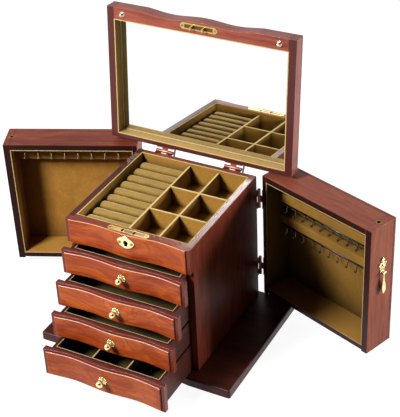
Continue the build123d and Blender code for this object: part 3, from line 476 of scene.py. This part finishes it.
# right_rim is a paler tone that paints a sheen along the top of the right side
left_rim, right_rim = tone(74, 36, 29), tone(134, 96, 86)
top_range, highlight_range, rim_range = (0.75, 0.97), (0.86, 0.96), (0.6, 0.95)
front_lip, front_lip_top, lip_lap = 5.5 * mm, 3.6 * mm, 0.2 * mm
keyhole_rise, keyhole_dark = 10.0 * mm, 7.8 * mm
shield_low, shield_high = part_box("escutcheon")
keyhole = Vector(((shield_low.x + shield_high.x) / 2, shield_low.y, shield_low.z + keyhole_rise))
for node in ["lock_rail"] + [f"{drawer}_front" for drawer in drawers]:
    low, high = shut_box(node)
    look = {"figure": 0.6, "flame": 0.45, "coat": 0.2, "polish": 0.12}
    lips = [(0, low.x + front_lip, high.x - front_lip, lip_stain)]
    if node == "lock_rail":
        top, highlight = rail_top, rail_highlight
        # Painted shade: the wall of the keyhole's bore is painted black
        look["bore"] = (keyhole, keyhole_dark)
    else:
        top, highlight = front_top, front_highlight
        lips.append((2, 0.0, high.z - front_lip_top + lip_lap, lip_top_stain))
    # Top faces take another colour, and the rounded top front edge carries a painted highlight
    rims = [(UP, *top_range, top), ((UP - BACK).normalized(), *highlight_range, highlight)]
    look.update(lips=lips, rims=rims)
    paint(node, wood(f"veneer_{node}", body_of(node), *veneer_tones, "X", **look))
paint("lid_front_rail", wood("lid_front_wood", "lid", *lid_front_tones, "X", figure=0.3))
side_inner = shut_box("lid_front_rail")[1].x
look = {"cross": (0, -side_inner, side_inner, "Y"), "rims": [(-UP, *rim_range, lid_rim)]}
paint("lid_frame_rails", wood("lid_rail_wood", "lid", *lid_rail_tones, "X", **look))
paint("lid_top_panel", wood("lid_top_wood", "lid", *lid_top_tones, "X"))
for side, way in zip(sides, (1, -1)):
    body = f"{side}_door"
    low, high = shut_box(f"{side}_door_lining")
    look = {"cross": (1, low.y, high.y, "Z"), "rims": [(RIGHT * way, *rim_range, door_rim)]}
    look.update(coat=0.0, polish=0.1, shine=0.08)
    tones = left_door_tones
    if side == "right":
        look["shine"] = 0.16
        tones = right_door_tones
    paint(f"{side}_door_frame", wood(f"{side}_door_wood", body, *tones, "Y", **look))
    paint(f"{side}_door_panel", wood(f"{side}_panel_wood", body, *door_panel_tones, "Y"))
    look = {"coat": 0.0, "polish": 0.06, "shine": 0.1, "rims": [(UP, *top_range, left_rim)]}
    if side == "right":
        # Painted sheen: the top of the right side takes the paler right_rim tone
        look.update(polish=0.4, coat_roughness=0.26, rims=[(UP, *top_range, right_rim)])
    paint(f"{side}_side_panel", wood(f"{side}_side_wood", "carcass", *stain_tones, "Z", **look))
paint("back_panel", wood("back_wood", "carcass", *stain_tones, "X"))
paint("base_plinth", wood("base_wood", "carcass", *base_tones, "X", coat=0.0))
paint("shelf_boards", wood("shelf_wood", "carcass", *box_tones, "X", coat=0.0, roughness=0.5))
for drawer in drawers:
    paint(f"{drawer}_box", wood(f"{drawer}_box_wood", drawer, *box_tones, "Y", coat=0.0, roughness=0.45))

# Finish of the linings
gold_tones = tone(164, 116, 46), tone(202, 152, 68)
lit_tones = tone(172, 118, 46), tone(212, 154, 68)
shaded_tones = tone(140, 98, 38), tone(174, 130, 56)
lid_tones = tone(164, 124, 54), tone(202, 162, 82)
drawer_tones = tone(66, 56, 30), tone(92, 78, 42)
edge_inset, divider_drop = 0.5 * mm, 6.0 * mm
# In these looks gloom is painted shade in the linings' hollows, and the floor_tone of the shaded look is
# painted light on its floor
tray_look = {"depth": 12 * mm, "gloom": 0.7, "dim": 0.5, "shadow": tone(30, 30, 24)}
lit_look = {"depth": 50 * mm, "gloom": 0.6, "floor_gloom": 0.1}
shaded_look = {"depth": 80 * mm, "gloom": 0.95, "floor_gloom": 0.45}
shaded_look.update(floor_tone=tone(214, 160, 72), edge_tone=tone(206, 178, 118))
drawer_look = {"depth": 40 * mm, "gloom": 0.95, "edge_tone": tone(190, 166, 118)}
divided_look = {**drawer_look, "ridge": divider_drop}


def turned_edge(node, direction):
    """Direction and level of the pale edge of a lining, just under its outermost faces."""
    low, high = shut_box(node)
    corner = [h if d > 0 else l for l, h, d in zip(low, high, direction)]
    return direction, Vector(corner).dot(direction) - edge_inset


lined = [
    ("tray_lining", UP, gold_tones, tray_look),
    ("tray_dividers", UP, gold_tones, tray_look),
    ("lid_lining", -UP, lid_tones, {"sheen": 0.8}),
    ("left_door_lining", RIGHT, lit_tones, lit_look),
    ("right_door_lining", -RIGHT, shaded_tones, shaded_look),
    (f"{drawers[-1]}_lining", UP, drawer_tones, divided_look),
]
lined += [(f"{drawer}_lining", UP, drawer_tones, drawer_look) for drawer in drawers[:-1]]
for node, direction, tones, look in lined:
    edge = turned_edge(node, direction)
    paint(node, velvet(f"velvet_{node}", body_of(node), *tones, edge=edge, **look))
for side, tones in zip(sides, (gold_tones, shaded_tones)):
    node = f"{side}_hook_rails"
    paint(node, velvet(f"velvet_{node}", body_of(node), *tones))

# Finish of the fittings, as clean and dull colour, polish and haze
brass = tone(253, 236, 178), tone(214, 172, 96), 0.1, 0.24
pale_brass = tone(236, 218, 194), tone(140, 110, 88), 0.18, 0.34
aged_brass = tone(206, 176, 108), tone(118, 94, 50), 0.42, 0.55
worn_brass = tone(168, 138, 88), tone(92, 70, 40), 0.26, 0.42
copper = tone(186, 122, 102), tone(96, 54, 42), 0.3, 0.46
bronze = tone(118, 74, 64), tone(48, 30, 27), 0.3, 0.46
steel = tone(212, 208, 200), tone(150, 142, 130), 0.16, 0.34
dark_wire = tone(96, 88, 80), tone(52, 46, 42), 0.24, 0.4
iron = tone(62, 58, 56), tone(34, 30, 30), 0.3, 0.5
fittings = {
    "left_pull_drop": brass,
    "right_pull_drop": brass,
    "lid_pins": pale_brass,
    "left_door_grommet": worn_brass,
    "right_door_grommet": worn_brass,
    "carcass_screws": worn_brass,
    "lid_screws": worn_brass,
    "lid_hinge_leaves": copper,
    "carcass_hinge_leaves": bronze,
    "hinge_pins": bronze,
    "left_door_hinge_leaves": bronze,
    "right_door_hinge_leaves": bronze,
    "left_hooks": steel,
    "right_hooks": dark_wire,
    "lid_stop_arms": iron,
    "lock_case": iron,
    "lock_bolt": iron,
}
for node, alloy in fittings.items():
    paint(node, metal(f"metal_{node}", body_of(node), *alloy))
paint("mirror", looking_glass("silvered_glass", "mirror"))

# Lock and strike plates, each with a dark field between two shares of its length; on the lock plate the
# field is painted shade
well_margin, plate_depth, plate_dirt = 2.0 * mm, 1.3 * mm, 0.3
for node, start, end, other_tone in (
    ("lid_strike_plate", 0.12, 0.88, tone(58, 46, 30)),
    ("lock_top_plate", 0.4, 0.9, tone(76, 64, 54)),
):
    low, high = shut_box(node)
    length = high.x - low.x
    near = (low.x + start * length, low.y + well_margin, high.z - plate_depth)
    far = (low.x + end * length, high.y - well_margin, high.z + plate_depth)
    paint(node, metal(f"metal_{node}", body_of(node), *aged_brass, plate_dirt, (near, far, other_tone)))


# Meshes of the pieces made here
egg_parts = 20


def lathe(bm, outline, matrix, steps=40):
    """Turned form from (radius, height) points, with a pole where the radius is zero."""
    angles = [2 * pi * step / steps for step in range(steps)]
    rings = []
    for radius, height in outline:
        spots = [Vector((radius * cos(angle), radius * sin(angle), height)) for angle in angles]
        if radius == 0:
            spots = [Vector((0, 0, height))]
        rings.append([bm.verts.new(matrix @ spot) for spot in spots])
    for lower, upper in zip(rings, rings[1:]):
        for step in range(steps):
            after = (step + 1) % steps
            corners = [lower[step % len(lower)], lower[after % len(lower)]]
            corners += [upper[after % len(upper)], upper[step % len(upper)]]
            bm.faces.new(list(dict.fromkeys(corners)))


def drum(radius, half):
    """Outline of a cylinder about its middle."""
    return [(0, -half * mm), (radius * mm, -half * mm), (radius * mm, half * mm), (0, half * mm)]


def egg(bm, place, size, turn=0.0):
    """Ellipsoid at a place with three half sizes, turned in the plane of the plate."""
    matrix = Matrix.Translation(Vector(place) * mm) @ Matrix.Rotation(turn, 4, "Z")
    matrix @= Matrix.Diagonal(Vector(size) * mm).to_4x4()
    bmesh.ops.create_uvsphere(bm, u_segments=egg_parts, v_segments=egg_parts // 2, radius=1.0, matrix=matrix)


def skin(bm, first, second):
    """Faces between two closed rings with as many points each."""
    for step in range(len(first)):
        after = (step + 1) % len(first)
        bm.faces.new((first[step], first[after], second[after], second[step]))


def make_piece(name, bm, body, material, stands_for=(), smooth=True):
    """Object from a finished mesh that rides on a body and may stand for nodes."""
    bmesh.ops.recalc_face_normals(bm, faces=bm.faces)
    mesh = bpy.data.meshes.new(name)
    bm.to_mesh(mesh)
    bm.free()
    for polygon in mesh.polygons:
        polygon.use_smooth = smooth
    mesh.materials.append(material)
    piece = bpy.data.objects.new(name, mesh)
    scene.collection.objects.link(piece)
    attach(piece, body)
    if stands_for:
        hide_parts(*stands_for)
    return piece


def settle(piece):
    """Put the result of a piece's modifiers into its mesh."""
    graph = bpy.context.evaluated_depsgraph_get()
    mesh = bpy.data.meshes.new_from_object(piece.evaluated_get(graph))
    piece.modifiers.clear()
    piece.data = mesh


# Drawer knobs: a ball on a turned stem over a flower with domed petals, with outlines in mm
knob_peg = 3.0
petal_count, petal_ring, petal_rise, petal_size = 8, 5.0, 0.6, (2.5, 1.95, 1.5)
ball_radius, ball_reach, ball_start, ball_turn, ball_steps = 5.7, 9.2, 0.16, 0.72, 14
dimple_radius, dimple_rings = 2.1, [(0.8, 0.9), (0.4, 0.86), (0, 0.85)]
peg_outline = [(0, -knob_peg), (1.5, -knob_peg), (1.5, 0)]
flower_outline = [(6.4, 0), (6.6, 0.4), (5.6, 0.9), (3.9, 1.1), (3.7, 1.7), (3.1, 2.0), (2.5, 1.8)]
stem_outline = [(2.3, 2.4), (1.7, 3.0), (1.8, 3.4), (2.8, 3.7), (3.0, 4.1), (2.6, 4.5)]
ball_arc = [pi * (ball_start + ball_turn * step / ball_steps) for step in range(ball_steps + 1)]
ball_outline = [(ball_radius * sin(a), ball_reach - ball_radius * cos(a)) for a in ball_arc]
ball_outline += [(dimple_radius * wide, ball_reach + ball_radius * deep) for wide, deep in dimple_rings]
knob_outline = peg_outline + flower_outline + stem_outline + ball_outline
knob_gloss = 0.08, 0.22
for drawer in drawers:
    node = f"{drawer}_knob"
    low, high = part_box(node)
    seat = Vector(((low.x + high.x) / 2, high.y - knob_peg * mm, (low.z + high.z) / 2))
    bm = bmesh.new()
    lathe(bm, [(radius * mm, height * mm) for radius, height in knob_outline], Matrix.Identity(4))
    for petal in range(petal_count):
        angle = 2 * pi * petal / petal_count
        egg(bm, (petal_ring * cos(angle), petal_ring * sin(angle), petal_rise), petal_size, angle)
    to_front = Matrix.Translation(seat) @ Matrix.Rotation(pi / 2, 4, "X")
    bmesh.ops.transform(bm, matrix=to_front, verts=bm.verts)
    knob_brass = metal(f"metal_{node}", drawer, *brass[:2], *knob_gloss)
    make_piece(node + "_turned", bm, drawer, knob_brass, [node])

# Keyhole shield: a cast plate with an eased edge and a small crest, in mm from the middle of its keyhole
shield_half, shield_tip, shield_bottom = 14.9, 2.4, -9.9
crest_half, crest_foot, crest_top = 4.8, 9.2, 11.2
shield_swell, crest_swell = (10.6, 8.8), (5.0, 11.3)
hole_radius, slot_half, slot_drop, hole_limit, nearly_none = 3.6, 2.3, 7.1, 0.83, 0.001
curve_steps, arc_steps = 10, 56
shield_edge = [(1.0, 0.55), (0.975, 0.2), (0.93, 0.0), (0.86, 0.0)]
hole_edge = [(1.22, 0.0), (1.1, 0.05), (1.0, 0.35)]


def curve(start, pull, end):
    """Points of a curve from a start to an end that leans to a third point, without its end."""
    points = []
    for step in range(curve_steps):
        share = step / curve_steps
        first, middle, last = (1 - share) ** 2, 2 * share * (1 - share), share ** 2
        points.append(tuple(first * a + middle * b + last * c for a, b, c in zip(start, pull, end)))
    return points


half = curve((shield_half, shield_tip), shield_swell, (crest_half, crest_foot))
half += curve((crest_half, crest_foot), crest_swell, (0, crest_top))
outline = half + [(0, crest_top)] + [(-u, v) for u, v in reversed(half)]
sag = shield_tip - shield_bottom
arc_radius = (shield_half ** 2 + sag ** 2) / (2 * sag)
arc_end = asin((sag - arc_radius) / arc_radius)
for step in range(1, arc_steps):
    angle = pi - arc_end + (pi + 2 * arc_end) * step / arc_steps
    outline.append((arc_radius * cos(angle), shield_bottom + arc_radius + arc_radius * sin(angle)))
hole = []
for u, v in outline:
    reach = sqrt(u * u + v * v)
    side = slot_half * reach / max(abs(u), nearly_none)
    foot = slot_drop * reach / -v if v < 0 else 0.0
    hole.append(max(hole_radius, min(side, foot)) / reach)
thick = (shield_high.y - shield_low.y) / mm
loops = [([share] * len(outline), depth) for share, depth in [(1.0, thick)] + shield_edge]
for swell, depth in hole_edge + [(1.0, thick)]:
    loops.append(([min(share * swell, hole_limit) for share in hole], depth))
bm = bmesh.new()
rings = []
for shares, depth in loops:
    spots = [Vector((u * share, depth, v * share)) for (u, v), share in zip(outline, shares)]
    rings.append([bm.verts.new(keyhole + spot * mm) for spot in spots])
for outer, inner in zip(rings, rings[1:] + rings[:1]):
    skin(bm, outer, inner)
shield_brass = metal("metal_escutcheon", "carcass", *brass)
make_piece("escutcheon_cast", bm, "carcass", shield_brass, ["escutcheon"])

# Pull plates: a bud over a boss between two leaves, with ears for the pin, in mm from the door behind it.
# The forms have a place and half sizes, and the paired ones a lean in degrees.
pull_bud, pull_boss, pull_rise, pin_reach = 22.0, 11.0, 3.4, 4.4
pin_radius, pin_half, ear_radius, ear_half, ear_place = 1.0, 2.6, 2.2, 0.7, 2.4
cheek_reach, cheek_size = 2.2, (0.7, 2.0, 2.6)
fuse_voxel, ease_share, ease_rounds = 0.28, 0.5, 4
middle_forms = {
    "back": ((0, pull_boss, 0.2), (5.2, 10.6, 1.5)),
    "boss": ((0, pull_boss, 1.0), (3.9, 4.3, 3.4)),
    "bead": ((0, pull_boss, 3.6), (1.7, 1.9, 1.5)),
    "bud": ((0, pull_bud, 1.0), (2.9, 3.3, 2.5)),
    "tip": ((0, pull_bud + 3.0, 0.9), (1.3, 1.4, 1.3)),
    "collar": ((0, pull_bud - 4.2, 1.0), (3.3, 1.1, 1.9)),
    "foot": ((0, 0, 0.4), (3.4, 3.3, 1.6)),
}
paired_forms = {
    "leaf": ((5.2, pull_boss + 1.0, 0.6), (1.9, 4.4, 1.7), -35),
    "berry": ((6.5, pull_boss + 4.2, 1.2), (1.5, 1.5, 1.5), 0),
    "stalk": ((2.6, pull_boss - 6.2, 0.8), (1.3, 3.4, 1.5), 18),
    "petal": ((1.5, pull_bud + 0.4, 1.7), (0.7, 2.8, 1.6), 8),
}
across = Matrix.Rotation(pi / 2, 4, "Y")
for side in sides:
    body = f"{side}_door"
    node = f"{side}_pull_plate"
    low, high = shut_box(node)
    pivot = Vector(((low.x + high.x) / 2, high.y, low.z + pull_rise * mm))
    bm = bmesh.new()
    for place, size in middle_forms.values():
        egg(bm, place, size)
    for way in (-1, 1):
        for (x, y, z), size, lean in paired_forms.values():
            egg(bm, (way * x, y, z), size, way * radians(lean))
        ear = Matrix.Translation(Vector((way * ear_place, 0, pin_reach)) * mm) @ across
        lathe(bm, drum(ear_radius, ear_half), ear)
        egg(bm, (way * ear_place, 0, cheek_reach), cheek_size)
    pin = Matrix.Translation(Vector((0, 0, pin_reach)) * mm) @ across
    lathe(bm, drum(pin_radius, pin_half), pin)
    to_door = shutting(body).inverted() @ Matrix.Translation(pivot) @ Matrix.Rotation(pi / 2, 4, "X")
    bmesh.ops.transform(bm, matrix=to_door, verts=bm.verts)
    pull_brass = metal(f"metal_{node}", body, *brass)
    piece = make_piece(node + "_cast", bm, body, pull_brass, [node])
    fuse = piece.modifiers.new("fuse", "REMESH")
    fuse.mode, fuse.voxel_size, fuse.use_smooth_shade = "VOXEL", fuse_voxel * mm, True
    ease = piece.modifiers.new("ease", "SMOOTH")
    ease.factor, ease.iterations = ease_share, ease_rounds
    settle(piece)

# Ring rolls: velvet tubes over foam, blown up in a short cloth simulation and held at the foot, in mm
roll_count, roll_pitch, roll_end_gap = 9, 20.3, 0.2
roll_steps, roll_sides = 40, 30
roll_low, roll_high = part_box("ring_rolls")
roll_length = (roll_high.x - roll_low.x) / mm - 2 * roll_end_gap
roll_width, roll_foot, roll_height, roll_round = 18.4, 16.8, 25.7, 3.4
side_power, crown_power = 0.7, 0.75
uneven_size, uneven_wave, uneven_shift = 0.06, 7.3, 1.7
swell_limit, held_height, cloth_frames = 0.9, 2.5, 20
roll_tones = tone(160, 124, 58), tone(194, 156, 82)
# gloom: painted shade in the creases between the rolls
roll_velvet = velvet("velvet_ring_rolls", "carcass", *roll_tones, gloom=0.9, sheen=1.0)


def eased(value, power):
    """Power of a value's size that keeps its sign."""
    return abs(value) ** power * (1 if value > 0 else -1)


def roll_section(turn):
    """Point of a roll's section, from the middle of its foot round over its crown."""
    angle = 2 * pi * turn - pi / 2
    rise = (1 + eased(sin(angle), crown_power)) / 2
    width = roll_foot + (roll_width - roll_foot) * min(1, 2 * rise)
    return eased(cos(angle), side_power) * width / 2, rise * roll_height


def roll_mesh(index):
    """Mesh of one roll with rounded ends and a slightly uneven height."""
    bm = bmesh.new()
    rings = []
    for step in range(roll_steps + 1):
        share = (1 - cos(pi * step / roll_steps)) / 2
        x = share * roll_length
        near = min(x, roll_length - x, roll_round) / roll_round
        inset = roll_round * (1 - sqrt(1 - (1 - near) ** 2))
        uneven = uneven_size * sin(uneven_wave * share + uneven_shift * index)
        ring = []
        for side in range(roll_sides):
            y, z = roll_section(side / roll_sides)
            y *= 1 - inset / (roll_width / 2)
            z *= 1 - (inset - uneven) / roll_height
            ring.append(bm.verts.new(Vector((x, y, z)) * mm))
        rings.append(ring)
    for first, second in zip(rings, rings[1:]):
        for side in range(roll_sides):
            after = (side + 1) % roll_sides
            bm.faces.new((first[side], second[side], second[after], first[after]))
    bm.faces.new(rings[0])
    bm.faces.new(reversed(rings[-1]))
    bmesh.ops.poke(bm, faces=[face for face in bm.faces if len(face.verts) > 4])
    return bm


rolls = []
first_middle = roll_low.y + (roll_high.y - roll_low.y - (roll_count - 1) * roll_pitch * mm) / 2
for index in range(roll_count):
    bm = roll_mesh(index)
    corner = Vector((roll_low.x + roll_end_gap * mm, first_middle + index * roll_pitch * mm, roll_low.z))
    bmesh.ops.translate(bm, vec=corner, verts=bm.verts)
    roll = make_piece(f"ring_roll_{index + 1}", bm, "carcass", roll_velvet, ["ring_rolls"])
    rolls.append(roll)
for roll in rolls:
    pinned = roll.vertex_groups.new(name="foot")
    foot = [v.index for v in roll.data.vertices if v.co.z < roll_low.z + held_height * mm]
    pinned.add(foot, 1.0, "REPLACE")
    cloth = roll.modifiers.new("cloth", "CLOTH")
    cloth.settings.quality = 6
    cloth.settings.mass = 0.1
    cloth.settings.use_pressure = True
    cloth.settings.uniform_pressure_force = 4.0
    cloth.settings.shrink_min = -0.03
    cloth.settings.vertex_group_mass = pinned.name
    cloth.settings.effector_weights.gravity = 0.0
for step in range(1, cloth_frames + 1):
    scene.frame_set(step)
for roll in rolls:
    start = [vertex.co.copy() for vertex in roll.data.vertices]
    settle(roll)
    for vertex, before in zip(roll.data.vertices, start):
        move = vertex.co - before
        if move.length > swell_limit * mm:
            vertex.co = before + move.normalized() * swell_limit * mm
scene.frame_set(1)
for roll in rolls:
    finer = roll.modifiers.new("finer", "SUBSURF")
    finer.levels = finer.render_levels = 1

# Dark bars that the hooks of the right door hang from, one along each rail, in mm
bar_height, bar_depth, bar_margin, bar_pitch, bar_ease = 3.2, 1.3, 3.0, 40.0, 0.35
hooks_high = shut_box("right_hooks")[1]
rail_low, rail_high = shut_box("right_hook_rails")
bar_length = rail_high.y - rail_low.y - 2 * bar_margin * mm
bar_size = Matrix.Diagonal((bar_depth * mm, bar_length, bar_height * mm, 1))
bm = bmesh.new()
for row in range(2):
    middle = Vector((hooks_high.x - bar_depth / 2 * mm, (rail_low.y + rail_high.y) / 2, hooks_high.z))
    middle.z -= row * bar_pitch * mm
    bmesh.ops.create_cube(bm, size=1.0, matrix=Matrix.Translation(middle) @ bar_size)
bmesh.ops.bevel(bm, geom=bm.edges, offset=bar_ease * mm, segments=2, affect="EDGES")
bmesh.ops.transform(bm, matrix=shutting("right_door").inverted(), verts=bm.verts)
bar_metal = metal("metal_hook_bars", "right_door", *iron)
make_piece("right_hook_bars", bm, "right_door", bar_metal)

# Screws of the door hinges, two on each moving leaf, in mm and degrees
screw_head, screw_rise, screw_slot = 2.1, 0.7, 0.25
screw_shank, screw_length, screw_disc, screw_sides = 1.0, 2.0, 0.35, 28
half_levels = [(1.0, 0.3), (1.0, 0.5), (0.86, screw_rise)]
half_start, half_turn, half_steps = 7, 166, 14
leaf_thickness, screw_inset, screw_spread = 1.2, 7.5, 0.3
slot_lean, slot_turn = 40, 90


def screw(bm, matrix):
    """Head with a slot, as two half discs over a full one."""
    outline = [(0, -screw_length), (screw_shank, -screw_length), (screw_shank, 0)]
    outline += [(screw_head, 0), (screw_head, screw_disc), (0, screw_disc)]
    lathe(bm, [(radius * mm, height * mm) for radius, height in outline], matrix, screw_sides)
    arc = [radians(half_start + half_turn * step / half_steps) for step in range(half_steps + 1)]
    for way in (-1, 1):
        rings = []
        for scale, height in half_levels:
            radius = scale * screw_head
            spots = [(radius * cos(a), way * max(screw_slot, radius * sin(a)), height) for a in arc]
            rings.append([bm.verts.new(matrix @ (Vector(spot) * mm)) for spot in spots])
        for lower, upper in zip(rings, rings[1:]):
            skin(bm, lower, upper)
        bm.faces.new(rings[0])
        bm.faces.new(rings[-1])


for side, way in zip(sides, (-1, 1)):
    body = f"{side}_door"
    matrix = shutting(body)
    spots = [matrix @ vertex.co for vertex in nodes[f"{side}_door_hinge_leaves"].data.vertices]
    plate_back = min(p.y for p in spots) + leaf_thickness * mm
    outer = max(way * p.x for p in spots)
    heights = sorted({round(p.z / mm, 2) for p in spots})
    lower = [z for z in heights if z < sum(heights) / len(heights)]
    upper = [z for z in heights if z not in lower]
    bm = bmesh.new()
    for stretch in (lower, upper):
        middle, length = (stretch[0] + stretch[-1]) / 2, stretch[-1] - stretch[0]
        for share in (-screw_spread, screw_spread):
            spot = Vector((way * (outer - screw_inset * mm), plate_back, (middle + share * length) * mm))
            lean = Matrix.Rotation(radians(slot_lean + slot_turn * share), 4, "Z")
            turn = Matrix.Rotation(-pi / 2, 4, "X") @ lean
            screw(bm, matrix.inverted() @ Matrix.Translation(spot) @ turn)
    screw_steel = metal(f"metal_{side}_door_screws", body, *steel)
    make_piece(f"{side}_door_screws", bm, body, screw_steel, smooth=False)


# Floor, light and camera
floor_size, floor_rate, floor_glow = 12.0, (60, 60, 60), 0.93
floor_tones, floor_shadow = (tone(98, 97, 95), tone(106, 105, 103)), tone(150, 150, 150)
sky_fill, dark_way, dark_range, dark_share = 0.035, Vector((0.45, -0.8, 0.4)), (0.5, 0.9), 0.04


def seen(tree):
    """1 for rays that show a thing to the camera, straight, in a reflection or through glass."""
    ray = tree.add("LightPath")
    straight = tree.larger(ray.outputs["Is Camera Ray"], ray.outputs["Is Glossy Ray"])
    return tree.larger(straight, ray.outputs["Is Transmission Ray"])


def floor_material():
    """Pale floor that shows white to the camera and in reflections, and keeps a soft shadow."""
    surface = Surface("pale_floor")
    grain = surface.noise(surface.place, floor_rate, detail=2)
    pale = surface.mix(surface.span(grain, 0.3, 0.7), *floor_tones)
    plain = surface.add("BsdfDiffuse", {"Color": pale}).outputs[0]
    shadow = surface.add("BsdfDiffuse", {"Color": floor_shadow}).outputs[0]
    glow = surface.add("Emission", {"Strength": floor_glow}).outputs[0]
    bright = surface.add("AddShader", {0: shadow, 1: glow}).outputs[0]
    shown = surface.add("MixShader", {0: seen(surface), 1: plain, 2: bright}).outputs[0]
    surface.put(surface.tree.nodes["Material Output"].inputs["Surface"], shown)
    return surface.material


bm = bmesh.new()
bmesh.ops.create_grid(bm, x_segments=1, y_segments=1, size=floor_size / 2)
floor_mesh = bpy.data.meshes.new("floor")
bm.to_mesh(floor_mesh)
bm.free()
floor_mesh.materials.append(floor_material())
floor = bpy.data.objects.new("floor", floor_mesh)
scene.collection.objects.link(floor)

# White room that gives little light of its own, with a dark side for reflections
world = bpy.data.worlds.new("studio")
scene.world = world
world.use_nodes = True
room = Tree(world.node_tree)
background = room.tree.nodes["Background"]
room.put(background.inputs["Strength"], room.span(seen(room), 0, 1, sky_fill, 1.0))
toward = room.dot(room.add("TexCoord").outputs["Generated"], dark_way.normalized())
dim = room.span(toward, *dark_range, 1.0, dark_share)
straight = room.add("LightPath").outputs["Is Camera Ray"]
room.put(background.inputs["Color"], room.larger(straight, dim))


def softbox(name, place, aim, size, power):
    """Square area light of a given width at a place, turned to an aim."""
    lamp = bpy.data.lights.new(name, "AREA")
    lamp.shape = "RECTANGLE"
    lamp.size = lamp.size_y = size
    lamp.energy = power
    light = bpy.data.objects.new(name, lamp)
    light.location = place
    light.rotation_euler = (Vector(aim) - Vector(place)).to_track_quat("-Z", "Y").to_euler()
    scene.collection.objects.link(light)


softbox("key", place=(-0.68, -1.1, 1.27), aim=(0, 0, 0.12), size=0.4, power=36)
softbox("side", place=(1.6, 0.9, 0.4), aim=(0.2, 0, 0.2), size=0.6, power=34)

camera_place = (0.80379, -1.31685, 1.23866)
camera_azimuth, camera_elevation, camera_roll = radians(29.28), radians(33.49), radians(-2.88)
camera_data = bpy.data.cameras.new("camera")
camera_data.lens = 105.1
camera_data.sensor_width = 36.0
camera = bpy.data.objects.new("camera", camera_data)
camera.matrix_world = (
    Matrix.Translation(camera_place)
    @ Matrix.Rotation(camera_azimuth, 4, "Z")
    @ Matrix.Rotation(pi / 2 - camera_elevation, 4, "X")
    @ Matrix.Rotation(camera_roll, 4, "Z")
)
scene.collection.objects.link(camera)
scene.camera = camera
scene.view_settings.view_transform = "Standard"
